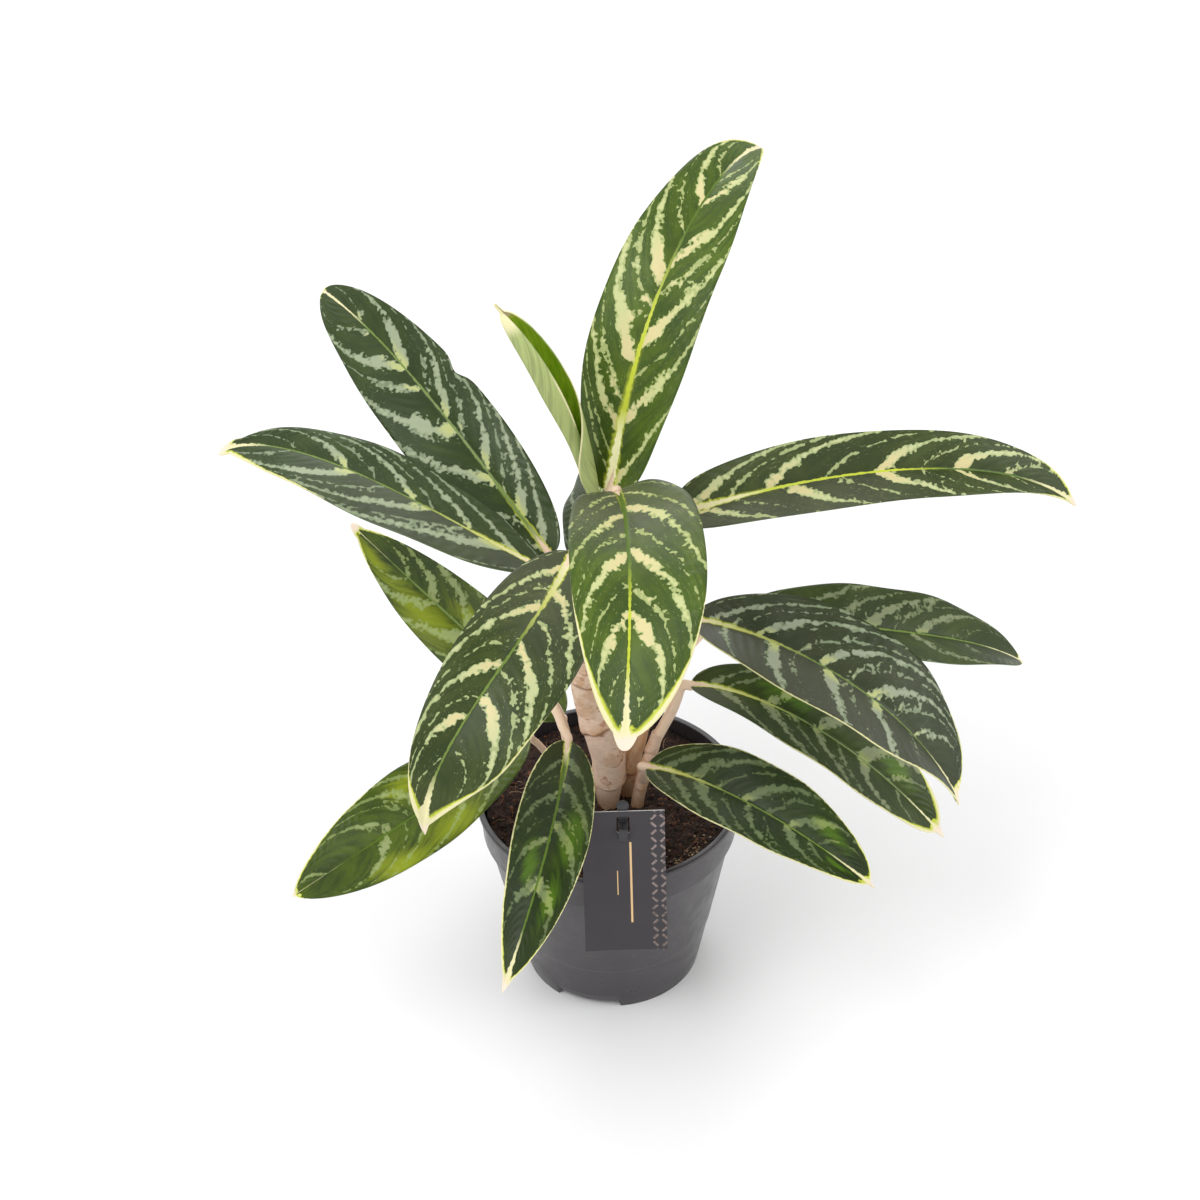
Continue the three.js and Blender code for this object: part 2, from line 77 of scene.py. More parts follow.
# A circle extruded from station to station. A station is the circle's centre and its two half axes.
def sweepCircle(bm, stations, sides, material=0):
    matrices = []
    for centre, across, front in stations:
        along = across.cross(front).normalized()
        turn = Matrix((across, front, along)).transposed().to_4x4()
        matrices.append(Matrix.Translation(centre) @ turn)
    made = bmesh.ops.create_circle(bm, segments=sides, radius=1.0)
    ring = made["verts"]
    edges = list(dict.fromkeys(edge for vert in ring for edge in vert.link_edges))
    everything = list(ring)
    ends = [edges]
    bmesh.ops.transform(bm, matrix=matrices[0], verts=ring)
    for before, after in zip(matrices, matrices[1:]):
        grown = bmesh.ops.extrude_edge_only(bm, edges=edges)["geom"]
        ring = [item for item in grown if isinstance(item, bmesh.types.BMVert)]
        edges = [item for item in grown if isinstance(item, bmesh.types.BMEdge)]
        bmesh.ops.transform(bm, matrix=after @ before.inverted(), verts=ring)
        everything += ring
    ends.append(edges)
    for loop in ends:
        bmesh.ops.edgeloop_fill(bm, edges=loop)
    faces = list(dict.fromkeys(face for vert in everything for face in vert.link_faces))
    for face in faces:
        face.material_index = material
    bmesh.ops.recalc_face_normals(bm, faces=faces)
    return everything


def addObject(name, data):
    thing = bpy.data.objects.new(name, data)
    bpy.context.scene.collection.objects.link(thing)
    return thing


# Makes the object of a finished mesh: scaled to metres, on the root body, in place of its solid.
def finishPiece(bm, name, node, materials, smooth=True):
    bmesh.ops.scale(bm, vec=Vector((1, 1, 1)) * metresPerMillimetre, verts=bm.verts)
    mesh = bpy.data.meshes.new(name)
    bm.to_mesh(mesh)
    bm.free()
    for material in materials:
        mesh.materials.append(material)
    if smooth:
        mesh.shade_smooth()
    piece = addObject(name, mesh)
    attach(piece, "root")
    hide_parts(node)


def plainColour(red, green, blue):
    def linear(value):
        value /= 255
        return value / 12.92 if value <= 0.04045 else ((value + 0.055) / 1.055) ** 2.4
    return linear(red), linear(green), linear(blue), 1.0


def newMaterial(name, roughness=0.5):
    material = bpy.data.materials.new(name)
    material.use_nodes = True
    tree = material.node_tree
    shader = tree.nodes["Principled BSDF"]
    shader.inputs["Roughness"].default_value = roughness
    return material, tree, shader


# Links a socket to another or sets its number. A colour is given as red, green and blue from 0 to 255.
def plug(tree, value, socket):
    if isinstance(value, bpy.types.NodeSocket):
        tree.links.new(value, socket)
    elif isinstance(value, tuple):
        socket.default_value = plainColour(*value)
    else:
        socket.default_value = value


def calc(tree, operation, *values):
    node = tree.nodes.new("ShaderNodeMath")
    node.operation = operation
    for value, socket in zip(values, node.inputs):
        plug(tree, value, socket)
    return node.outputs[0]


def plus(tree, first, second):
    return calc(tree, "ADD", first, second)


def minus(tree, first, second):
    return calc(tree, "SUBTRACT", first, second)


def times(tree, first, second):
    return calc(tree, "MULTIPLY", first, second)


# Goes smoothly from start to end while value goes from low to high.
def fade(tree, value, low, high, start=0.0, end=1.0):
    node = tree.nodes.new("ShaderNodeMapRange")
    node.interpolation_type = "SMOOTHSTEP"
    names = ("Value", "From Min", "From Max", "To Min", "To Max")
    for name, setting in zip(names, (value, low, high, start, end)):
        plug(tree, setting, node.inputs[name])
    return node.outputs[0]


def blend(tree, share, first, second):
    node = tree.nodes.new("ShaderNodeMix")
    node.data_type = "RGBA"
    plug(tree, share, node.inputs[0])
    plug(tree, first, node.inputs[6])
    plug(tree, second, node.inputs[7])
    return node.outputs[2]


# Object coordinates in millimetres.
def millimetres(tree):
    where = tree.nodes.new("ShaderNodeTexCoord")
    scale = tree.nodes.new("ShaderNodeVectorMath")
    scale.operation = "SCALE"
    tree.links.new(where.outputs["Object"], scale.inputs[0])
    scale.inputs["Scale"].default_value = 1 / metresPerMillimetre
    return scale.outputs[0]


def axesOf(tree, vector):
    node = tree.nodes.new("ShaderNodeSeparateXYZ")
    plug(tree, vector, node.inputs[0])
    return node.outputs


# Noise from 0 to 1 whose lumps are about size millimetres across.
def grain(tree, where, size, detail=2.0, roughness=0.5):
    node = tree.nodes.new("ShaderNodeTexNoise")
    plug(tree, where, node.inputs["Vector"])
    node.inputs["Scale"].default_value = 1 / size
    node.inputs["Detail"].default_value = detail
    node.inputs["Roughness"].default_value = roughness
    return node.outputs["Fac"]


def painted(tree, name):
    node = tree.nodes.new("ShaderNodeAttribute")
    node.attribute_name = name
    return node.outputs["Fac"]


# A colour that follows value through the stops (place, colour).
def colourAlong(tree, value, stops):
    node = tree.nodes.new("ShaderNodeValToRGB")
    ramp = node.color_ramp
    ramp.elements[0].position, ramp.elements[0].color = stops[0]
    ramp.elements[1].position, ramp.elements[1].color = stops[-1]
    for place, colour in stops[1:-1]:
        ramp.elements.new(place).color = colour
    plug(tree, value, node.inputs["Fac"])
    return node.outputs["Color"], node.outputs["Alpha"]


# A fine relief about depth millimetres deep.
def addBump(tree, shader, height, depth):
    node = tree.nodes.new("ShaderNodeBump")
    node.inputs["Distance"].default_value = depth * metresPerMillimetre
    node.inputs["Strength"].default_value = 1.0
    plug(tree, height, node.inputs["Height"])
    tree.links.new(node.outputs[0], shader.inputs["Normal"])


view = {"place": (-1.3, -943.3, 946.1), "pitch": 38.07, "roll": -1.75, "lens": 83.9, "sensor": 36.0}


def addCamera():
    camera = addObject("camera", bpy.data.cameras.new("camera"))
    camera.data.lens = view["lens"]
    camera.data.sensor_width = view["sensor"]
    tilt = Matrix.Rotation(math.radians(90 - view["pitch"]), 4, "X")
    roll = Matrix.Rotation(math.radians(view["roll"]), 4, "Z")
    place = Matrix.Translation(Vector(view["place"]) * metresPerMillimetre)
    camera.matrix_world = place @ tilt @ roll
    bpy.context.scene.camera = camera


# Places and sizes are in metres here. Each light is a name, its place, its size and its power.
studio = {
    "lights": [("keyLight", (-0.9, -0.75, 1.75), 1.3, 19.0), ("fillLight", (1.6, -0.35, 0.75), 1.0, 10.0),
               ("backLight", (-0.3, 1.7, 1.35), 1.5, 11.0)],
    "aim": (0, 0, 0.15), "skyStrength": 0.84, "floorSize": 9.0, "floorColour": (0.86, 0.86, 0.865, 1.0),
}


def addLight(name, place, size, power):
    light = bpy.data.lights.new(name, "AREA")
    light.shape = "DISK"
    light.size = size
    light.energy = power
    aim = Vector(studio["aim"]) - Vector(place)
    turn = aim.to_track_quat("-Z", "Y").to_matrix().to_4x4()
    addObject(name, light).matrix_world = Matrix.Translation(place) @ turn


def addStudio():
    for light in studio["lights"]:
        addLight(*light)
    world = bpy.data.worlds.new("sky")
    world.use_nodes = True
    sky = world.node_tree.nodes["Background"]
    sky.inputs["Color"].default_value = (1.0, 1.0, 1.0, 1.0)
    sky.inputs["Strength"].default_value = studio["skyStrength"]
    bpy.context.scene.world = world
    bpy.context.scene.view_settings.view_transform = "Standard"
    bm = bmesh.new()
    bmesh.ops.create_grid(bm, x_segments=1, y_segments=1, size=studio["floorSize"] / 2)
    mesh = bpy.data.meshes.new("floor")
    bm.to_mesh(mesh)
    bm.free()
    material, _, shader = newMaterial("floorPaper", 0.9)
    shader.inputs["Base Color"].default_value = studio["floorColour"]
    mesh.materials.append(material)
    floor = addObject("floor", mesh)


addCamera()
addStudio()
print("camera, light and floor ready")


pot = {
    "height": 97.5, "rimRadius": 60.0, "rimHeight": 3.2, "collarHeight": 18.5, "collarTopRadius": 58.7,
    "collarFootRadius": 57.8, "wallTopRadius": 56.0, "footRadius": 40.3, "wallThickness": 1.3,
    "ledgeHeight": 28.0, "ledgeStep": 0.4, "footRingWidth": 4.0, "floorRise": 3.4, "floorSlope": 1.5,
    "floorThickness": 1.5, "centrePadRadius": 20.0, "holeRadius": 4.0, "holeRing": 28.0, "holeCount": 6,
    "holeMargin": 1.2, "notchCount": 3, "notchAngle": 44.0, "notchMiddle": -108.0, "notchHeight": 3.4,
    "notchSlope": 2.0, "bandHeight": 8.0, "segments": 180, "edgeRounding": 0.35, "seam": 0.01,
    "dark": (47, 43, 47), "light": (57, 53, 57), "scuff": (130, 126, 124),
}


def wallRadiusAt(height):
    return mix(pot["footRadius"], pot["wallTopRadius"], height / (pot["height"] - pot["collarHeight"]))


def spinProfile(bm, profile, segments):
    verts = [bm.verts.new((radius, 0, height)) for radius, height in profile]
    edges = [bm.edges.new(pair) for pair in zip(verts, verts[1:])]
    bmesh.ops.spin(bm, geom=verts + edges, axis=(0, 0, 1), cent=(0, 0, 0), steps=segments,
                   angle=math.tau, use_merge=True)
    bmesh.ops.remove_doubles(bm, verts=bm.verts, dist=0.0001)
    bmesh.ops.recalc_face_normals(bm, faces=bm.faces)


def potPlastic():
    material, tree, shader = newMaterial("potPlastic", 0.42)
    where = millimetres(tree)
    base = blend(tree, grain(tree, where, 34, 3), pot["dark"], pot["light"])
    scuffed = fade(tree, grain(tree, where, 3.4, 8, 0.8), 0.68, 0.74, 0.0, 0.3)
    plug(tree, blend(tree, scuffed, base, pot["scuff"]), shader.inputs["Base Color"])
    plug(tree, fade(tree, grain(tree, where, 9, 5, 0.7), 0.2, 0.8, 0.24, 0.42), shader.inputs["Roughness"])
    addBump(tree, shader, grain(tree, where, 1.4, 3), 0.05)
    return material


def makePot():
    bm = bmesh.new()
    collarFoot = pot["height"] - pot["collarHeight"]
    rimFoot = pot["height"] - pot["rimHeight"]
    wall = pot["wallThickness"]
    channelTop = pot["floorRise"] + pot["floorThickness"]
    ringInside = pot["footRadius"] - pot["footRingWidth"]
    spinProfile(bm, [
        (0, 0),
        (pot["centrePadRadius"], 0),
        (pot["centrePadRadius"] + pot["floorSlope"], pot["floorRise"]),
        *[(radius, pot["floorRise"]) for radius in holeRings()],
        (ringInside - pot["floorSlope"], pot["floorRise"]),
        (ringInside, 0),
        (pot["footRadius"], 0),
        (wallRadiusAt(pot["bandHeight"]), pot["bandHeight"]),
        (wallRadiusAt(pot["ledgeHeight"]), pot["ledgeHeight"]),
        (wallRadiusAt(pot["ledgeHeight"]) + pot["ledgeStep"], pot["ledgeHeight"] + pot["ledgeStep"]),
        (pot["wallTopRadius"], collarFoot),
        (pot["collarFootRadius"], collarFoot + 2 * pot["ledgeStep"]),
        (pot["collarTopRadius"], rimFoot),
        (pot["rimRadius"], rimFoot + 1),
        (pot["rimRadius"], pot["height"]),
        (pot["collarTopRadius"] - wall, pot["height"]),
        (pot["collarFootRadius"] - wall, collarFoot + wall),
        (pot["wallTopRadius"] - wall, collarFoot - wall),
        (wallRadiusAt(channelTop) - wall, channelTop),
        *[(radius, channelTop) for radius in reversed(holeRings())],
        (pot["centrePadRadius"], channelTop),
        (pot["centrePadRadius"] - pot["floorSlope"], pot["floorThickness"]),
        (0, pot["floorThickness"]),
    ], pot["segments"])
    liftNotches(bm, ringInside)
    for hole in range(pot["holeCount"]):
        cutHole(bm, hole * math.tau / pot["holeCount"])
    rings = [edge for edge in bm.edges if isRing(edge)]
    bmesh.ops.bevel(bm, geom=rings, offset=pot["edgeRounding"], segments=3, profile=0.5, affect="EDGES",
                    material=-1, clamp_overlap=True)
    bmesh.ops.recalc_face_normals(bm, faces=bm.faces)
    finishPiece(bm, "nursery_pot", "pot", [potPlastic()])


# The floor has rings this close together around its drain holes.
def holeRings():
    reach = pot["holeRadius"] + pot["holeMargin"]
    return [pot["holeRing"] + reach * step / 6 for step in range(-6, 7)]


# Takes the faces of one drain hole out of both sides of the floor, rounds its rims and closes its wall.
def cutHole(bm, angle):
    middle = Vector((math.cos(angle), math.sin(angle))) * pot["holeRing"]
    inside = []
    for face in bm.faces:
        spot = face.calc_center_median()
        if spot.z < pot["height"] / 2 and (spot.xy - middle).length < pot["holeRadius"]:
            inside.append(face)
    border = [edge for face in inside for edge in face.edges
              if any(other not in inside for other in edge.link_faces)]
    bmesh.ops.delete(bm, geom=inside, context="FACES")
    for vert in dict.fromkeys(vert for edge in border for vert in edge.verts):
        vert.co.xy = middle + (vert.co.xy - middle).normalized() * pot["holeRadius"]
    bmesh.ops.bridge_loops(bm, edges=border)


def isRing(edge):
    first, second = (vert.co for vert in edge.verts)
    level = abs(first.z - second.z) < pot["seam"]
    sameRadius = abs(first.xy.length - second.xy.length) < pot["seam"]
    return level and sameRadius and edge.calc_length() > pot["seam"]


# The foot ring's drainage notches: its underside is raised over a few stretches.
def liftNotches(bm, ringInside):
    for vert in bm.verts:
        radius = vert.co.xy.length
        if vert.co.z > pot["seam"] or radius < ringInside - pot["seam"]:
            continue
        angle = math.degrees(math.atan2(vert.co.y, vert.co.x)) - pot["notchMiddle"]
        apart = min(abs((angle + 360 / pot["notchCount"] * notch + 180) % 360 - 180)
                    for notch in range(pot["notchCount"]))
        end = pot["notchAngle"] / 2
        vert.co.z = pot["notchHeight"] * (1 - ease(end - pot["notchSlope"], end, apart))


makePot()
print("pot ready")


peat = {
    "edgeHeight": 91.2, "middleHeight": 90.2, "edgeRadius": 55.6, "floorHeight": 5.2, "segments": 260,
    "ringStep": 0.9, "slope": (20, 55), "frontRise": 2.6,
    "lumpHeight": 1.9, "lumps": [(9, 3, 0.8), (3.6, 5, 0.7), (1.5, 8, 0.45)],
    "gap": 0.4, "crumbs": 3000, "crumbSize": (0.4, 1.7), "chips": 150, "chipSize": (0.3, 0.85), "chipX": 33,
    "chipReach": 15, "chipsAtFront": 0.6, "fibres": 240, "fibreLength": (2, 7), "fibreRadius": (0.08, 0.18),
    "fibreStretches": 6, "fibreSides": 5,
    "black": (28, 17, 14), "brown": (70, 44, 34), "red": (124, 76, 52), "straw": (206, 182, 150),
}


# The peat slopes down to its middle over the slope's two radii and is heaped up a little at the front right.
# Each of its lumps is a size, a seed and a share.
def peatHeight(x, y):
    radius = math.hypot(x, y)
    level = mix(peat["middleHeight"], peat["edgeHeight"], ease(*peat["slope"], radius))
    level += peat["frontRise"] * ease(0.2, 1.0, (0.6 * x - 0.8 * y) / peat["edgeRadius"])
    lumps = sum(bumpAt((x, y, 0), size, seed) * share for size, seed, share in peat["lumps"])
    return level + peat["lumpHeight"] * lumps


def peatMaterial():
    material, tree, shader = newMaterial("peat", 0.9)
    where = millimetres(tree)
    tone = painted(tree, "tone")
    colour = blend(tree, fade(tree, grain(tree, where, 3, 4, 0.7), 0.35, 0.7), peat["black"], peat["brown"])
    colour = blend(tree, fade(tree, tone, 0.05, 0.3), colour, peat["red"])
    colour = blend(tree, fade(tree, tone, 0.35, 0.9), colour, peat["straw"])
    plug(tree, colour, shader.inputs["Base Color"])
    addBump(tree, shader, grain(tree, where, 0.7, 4, 0.7), 0.5)
    return material


def makePeat():
    chance = random.Random(11)
    bm = bmesh.new()
    collarFoot = pot["height"] - pot["collarHeight"]
    inside = pot["wallThickness"] + peat["gap"]
    steps = int(peat["edgeRadius"] / peat["ringStep"])
    top = [(peat["edgeRadius"] * k / steps, peat["edgeHeight"]) for k in range(steps + 1)]
    spinProfile(bm, top + [
        (pot["collarFootRadius"] - inside, collarFoot + 2),
        (wallRadiusAt(collarFoot - 2) - inside, collarFoot - 2),
        (wallRadiusAt(peat["floorHeight"]) - inside, peat["floorHeight"]),
        (0, peat["floorHeight"]),
    ], peat["segments"])
    for vert in bm.verts:
        if vert.co.z > peat["edgeHeight"] - pot["seam"]:
            vert.co.z = peatHeight(vert.co.x, vert.co.y)
    bm.verts.layers.float.new("tone")
    scrap = bpy.data.meshes.new("scrap")
    for count in range(peat["crumbs"] + peat["chips"]):
        addScrap(bm, scrap, makeCrumb, chance, count >= peat["crumbs"])
    for count in range(peat["fibres"]):
        addScrap(bm, scrap, makeFibre, chance)
    bpy.data.meshes.remove(scrap)
    bmesh.ops.recalc_face_normals(bm, faces=bm.faces)
    finishPiece(bm, "peat", "soil", [peatMaterial()])


# Each crumb or fibre is shaped alone, which is quick, and then added to the peat.
def addScrap(bm, scrap, make, *settings):
    small = bmesh.new()
    tone = small.verts.layers.float.new("tone")
    make(small, tone, *settings)
    small.to_mesh(scrap)
    small.free()
    bm.from_mesh(scrap)


def randomSpot(chance, limit):
    radius = limit * math.sqrt(chance.random())
    angle = chance.uniform(0, math.tau)
    return radius * math.cos(angle), radius * math.sin(angle)


def makeCrumb(bm, tone, chance, isChip):
    x, y = randomSpot(chance, peat["edgeRadius"] - 1.5)
    if isChip and chance.random() < peat["chipsAtFront"]:
        x = peat["chipX"] + chance.gauss(0, 0.4) * peat["chipReach"]
        y = -math.sqrt(max(0, (peat["edgeRadius"] - chance.uniform(1, 6)) ** 2 - x * x))
    size = chance.uniform(*peat["chipSize" if isChip else "crumbSize"])
    size *= 1 if isChip else chance.uniform(0.5, 1)
    shade = chance.uniform(0.4, 0.9) if isChip else max(0, chance.gauss(0.04, 0.13))
    bmesh.ops.create_icosphere(bm, subdivisions=1, radius=size)
    for vert in bm.verts:
        vert.co *= chance.uniform(0.7, 1.15)
        vert[tone] = shade
    flat = Matrix.Diagonal((1, chance.uniform(0.5, 1), chance.uniform(0.35, 0.8), 1))
    turn = Matrix.Rotation(chance.uniform(0, math.tau), 4, "Z")
    turn = turn @ Matrix.Rotation(chance.uniform(-0.6, 0.6), 4, "X")
    place = Matrix.Translation((x, y, peatHeight(x, y) + size * 0.1))
    bmesh.ops.transform(bm, matrix=place @ turn @ flat, verts=bm.verts)


def makeFibre(bm, tone, chance):
    x, y = randomSpot(chance, peat["edgeRadius"] - 6)
    heading = chance.uniform(0, math.tau)
    length = chance.uniform(*peat["fibreLength"])
    bend = chance.uniform(-0.16, 0.16)
    radius = chance.uniform(*peat["fibreRadius"])
    lift = chance.uniform(0.1, 0.8)
    shade = max(0, chance.gauss(0.28, 0.2))
    stations = []
    count = peat["fibreStretches"]
    for step in range(count + 1):
        height = peatHeight(x, y) + 0.3 + lift * math.sin(math.pi * (step / count))
        along = Vector((math.cos(heading), math.sin(heading), 0))
        across = Vector((-along.y, along.x, 0)) * radius
        stations.append((Vector((x, y, height)), across, Vector((0, 0, -radius))))
        x += along.x * length / count
        y += along.y * length / count
        heading += bend
    for vert in sweepCircle(bm, stations, peat["fibreSides"]):
        vert[tone] = shade


makePeat()
print("peat ready")


# A cane's points are x, y, height and radius; scars are heights; calm makes its marks fainter.
plainCane = {"calm": 1.0, "light": (238, 208, 186), "dark": (218, 180, 154)}
canes = [
    {"name": "cane_main", "seed": 1.0, "light": (244, 218, 196), "dark": (230, 196, 172),
     "scars": [104, 136, 163, 182, 198], "points": [
        (0, 1, 62, 4.8), (-0.5, 0, 90, 5), (0, 1, 104, 7), (0, 1, 120, 8), (-5, 1, 145, 8),
        (-7.5, 2, 165, 8), (-6.5, 4, 190, 7.4), (-3, 5, 216, 5.8)]},
    {"name": "cane_side", "seed": 4.0, "light": (240, 208, 174), "dark": (220, 182, 142),
     "scars": [106, 132, 158], "points": [
        (8, 8, 64, 3.2), (8.4, 6, 90, 3.4), (13, 6, 120, 3.9), (20, 3, 150, 3.8), (27, 3, 182, 3.3)]},
    {"name": "cane_right", "seed": 7.0, "calm": 0.3, "scars": [103, 120], "points": [
        (11.5, -2, 64, 2.9), (12.7, -2, 90, 3), (17, -1, 112, 2.9), (22.5, 0, 131, 2.7)]},
    {"name": "cane_left", "seed": 9.0, "calm": 0.5, "scars": [97], "points": [
        (-16, 12, 64, 3.2), (-16.5, 13, 90, 3.3), (-17.5, 15, 111, 2.9)]},
]
bark = {
    "sides": 48, "stationStep": 0.45, "scarSwell": 1.0, "swellReach": 6.0, "scarDip": 0.6, "dipReach": 0.8,
    "scarSag": 2.2, "scarTurn": 2.4, "scarWander": 1.6, "lump": 0.5, "lumpSize": 11, "crease": 0.2,
    "creaseSize": 4.5, "creaseReach": 0.16,
    "blotch": (150, 112, 84), "patch": (208, 162, 120), "patchRim": (176, 116, 74), "foot": (150, 106, 70),
    "scar": (206, 152, 104), "crack": (134, 88, 58),
}


# Blotches, tan patches with a partly darker rim, a dark foot in the peat, and scars and cracks.
def barkMaterial(cane):
    material, tree, shader = newMaterial(cane["name"] + "Bark", 0.55)
    where = millimetres(tree)
    patch = grain(tree, where, 10, 3)
    rim = fade(tree, calc(tree, "ABSOLUTE", minus(tree, patch, 0.53)), 0.03, 0.006, 0.0, 0.75 * cane["calm"])
    patchy = fade(tree, grain(tree, where, 5, 3), 0.4, 0.6, 0.1, 0.75)
    colour = blend(tree, grain(tree, where, 7, 3), cane["light"], cane["dark"])
    for share, tone in (
        (fade(tree, grain(tree, where, 2.6, 5, 0.65), 0.6, 0.78, 0.0, 0.3), "blotch"),
        (fade(tree, patch, 0.5, 0.64, 0.0, 0.55), "patch"),
        (times(tree, rim, fade(tree, grain(tree, where, 7, 2), 0.46, 0.6)), "patchRim"),
        (fade(tree, axesOf(tree, where)["Z"], 90, 106, 0.8, 0.0), "foot"),
        (times(tree, painted(tree, "scar"), patchy), "scar"),
        (painted(tree, "crease"), "crack"),
    ):
        colour = blend(tree, share, colour, bark[tone])
    plug(tree, colour, shader.inputs["Base Color"])
    addBump(tree, shader, grain(tree, where, 1.6, 5, 0.6), 0.35)
    return material


# A leaf scar sags at the front: the cane swells just above it and is pinched to a dark line along it.
def scarShape(cane, height, outward, place):
    swell = dip = 0.0
    for index, scar in enumerate(cane["scars"]):
        turn = index * bark["scarTurn"]
        sag = bark["scarSag"] * (outward.y * math.cos(turn) + 0.6 * outward.x * math.sin(turn))
        above = height - scar - sag + bark["scarWander"] * bumpAt(place, 5, cane["seed"])
        if above > 0:
            swell = max(swell, hump(above, bark["swellReach"]))
        dip = max(dip, hump(above, bark["dipReach"]))
    return swell, dip


def makeCane(cane):
    points, calm = cane["points"], cane["calm"]
    length = sum((Vector(b[:3]) - Vector(a[:3])).length for a, b in zip(points, points[1:]))
    count = int(length / bark["stationStep"])
    route = smoothRoute([Vector(point[:3]) for point in points], count)
    bm = bmesh.new()
    crease = bm.verts.layers.float.new("crease")
    scar = bm.verts.layers.float.new("scar")
    stations = []
    for step, middle in enumerate(route):
        along = (route[min(step + 1, count)] - route[max(step - 1, 0)]).normalized()
        position = step / count * (len(points) - 1)
        before = min(int(position), len(points) - 2)
        radius = mix(points[before][3], points[before + 1][3], position - before)
        across = (Vector((1, 0, 0)) - along * along.x).normalized()
        stations.append((middle, across * radius, along.cross(across) * radius))
    verts = sweepCircle(bm, stations, bark["sides"])
    for index, vert in enumerate(verts):
        middle, across, _ = stations[index // bark["sides"]]
        outward = (vert.co - middle).normalized()
        swell, dip = scarShape(cane, middle.z, outward, vert.co)
        lump = bumpAt(vert.co, bark["lumpSize"], cane["seed"]) * bark["lump"]
        flatter = (vert.co.x, vert.co.y, vert.co.z * 2.4)
        wrinkle = abs(bumpAt(flatter, bark["creaseSize"], cane["seed"] + 3))
        fold = max(0.0, bark["creaseReach"] - wrinkle) / bark["creaseReach"]
        shift = bark["scarSwell"] * swell - bark["scarDip"] * dip + lump - bark["crease"] * fold
        vert.co += outward * shift * calm
        vert[crease] = min(1.0, 0.8 * dip * calm + 0.22 * fold ** 2)
        vert[scar] = max(swell ** 2, dip) * calm
    finishPiece(bm, cane["name"] + "_bark", cane["name"], [barkMaterial(cane)])


for cane in canes:
    makeCane({**plainCane, **cane})
print("canes ready:", len(canes))


# A leaf's look: its green and the streaks in it, its stripes' heart and border, the pale stripe colour that
# reaches out from the midrib, its underside, and for some the yellow green of painted light through the
# leaf.
creamLook = {
    "base": (56, 76, 14), "lightBase": (80, 102, 22), "streak": (46, 68, 22), "pale": (212, 200, 148),
    "core": (192, 197, 138), "border": (156, 168, 106), "paleReach": 0.6, "under": (120, 142, 92),
}
deepLook = {
    **creamLook, "base": (48, 60, 20), "lightBase": (66, 78, 34), "streak": (40, 56, 22),
    "core": (190, 195, 144), "border": (156, 168, 116),
}
greyLook = {
    "base": (40, 56, 14), "lightBase": (54, 70, 26), "streak": (36, 52, 20), "pale": (182, 188, 124),
    "core": (152, 162, 132), "border": (120, 132, 102), "paleReach": 0.3, "under": (104, 126, 82),
}
silverLook = {**greyLook, "base": (36, 46, 14), "lightBase": (52, 61, 30), "core": (148, 156, 132)}
dullLook = {
    "base": (30, 44, 8), "lightBase": (47, 63, 15), "streak": (28, 42, 12), "pale": (140, 150, 92),
    "core": (104, 118, 80), "border": (82, 96, 58), "paleReach": 0.2, "under": (100, 122, 78),
    "paintedBacklight": (78, 112, 12),
}
oliveLook = {
    **dullLook, "base": (40, 53, 10), "lightBase": (58, 72, 19), "streak": (36, 52, 14),
    "core": (126, 134, 100), "border": (98, 110, 72),
}
sunnyLook = {
    **oliveLook, "base": (52, 68, 16), "lightBase": (80, 98, 18), "core": (144, 156, 104),
    "border": (118, 134, 74), "paintedBacklight": (146, 160, 20),
}
# The young leaf's own bright lime and its underside are made brighter still: painted light shining through
# the rolled blade into its shaded inside.
youngLook = {
    "base": (150, 184, 34), "lightBase": (180, 208, 62), "streak": (122, 160, 26), "pale": (214, 214, 150),
    "core": (206, 208, 152), "border": (172, 182, 120), "paleReach": 0.3, "under": (172, 186, 118),
}

# butter is the cream of the top leaf's midrib base, made brighter than its own colour: painted light against
# the shade there.
tints = {
    "pink": (234, 216, 196), "cream": (224, 218, 170), "butter": (255, 251, 200), "straw": (194, 196, 108),
    "lime": (190, 200, 60), "leaf": (86, 112, 36), "moss": (108, 130, 58), "paintedSheen": (104, 102, 94),
    "paintedBacklightStripe": (160, 178, 84),
}
# The midrib's colour and half width in mm, from the blade's base up to where its tip colours begin.
ribs = {
    "lime": [(0, "butter", 2.9), (0.13, "butter", 1.9), (0.2, "lime", 1.3), (0.42, "lime", 0.8),
             (0.6, "leaf", 0.5)],
    "long": [(0, "pink", 2.4), (0.05, "cream", 1.9), (0.14, "cream", 0.9), (0.2, "lime", 0.75),
             (0.5, "lime", 0.5), (0.6, "leaf", 0.45)],
    "sharp": [(0, "pink", 1.9), (0.06, "cream", 1.5), (0.2, "straw", 1.0), (0.34, "moss", 0.65),
              (0.6, "moss", 0.5)],
    "green": [(0, "pink", 1.6), (0.05, "cream", 1.3), (0.12, "leaf", 0.9), (0.6, "leaf", 0.5)],
    "fresh": [(0, "pink", 1.8), (0.04, "leaf", 1.3), (0.45, "leaf", 0.85), (0.62, "lime", 0.6)],
    "moss": [(0, "cream", 1.6), (0.1, "moss", 0.9), (0.6, "moss", 0.5)],
    "straw": [(0, "pink", 1.6), (0.06, "cream", 1.1), (0.17, "straw", 0.75), (0.36, "moss", 0.45),
              (0.6, "moss", 0.4)],
}

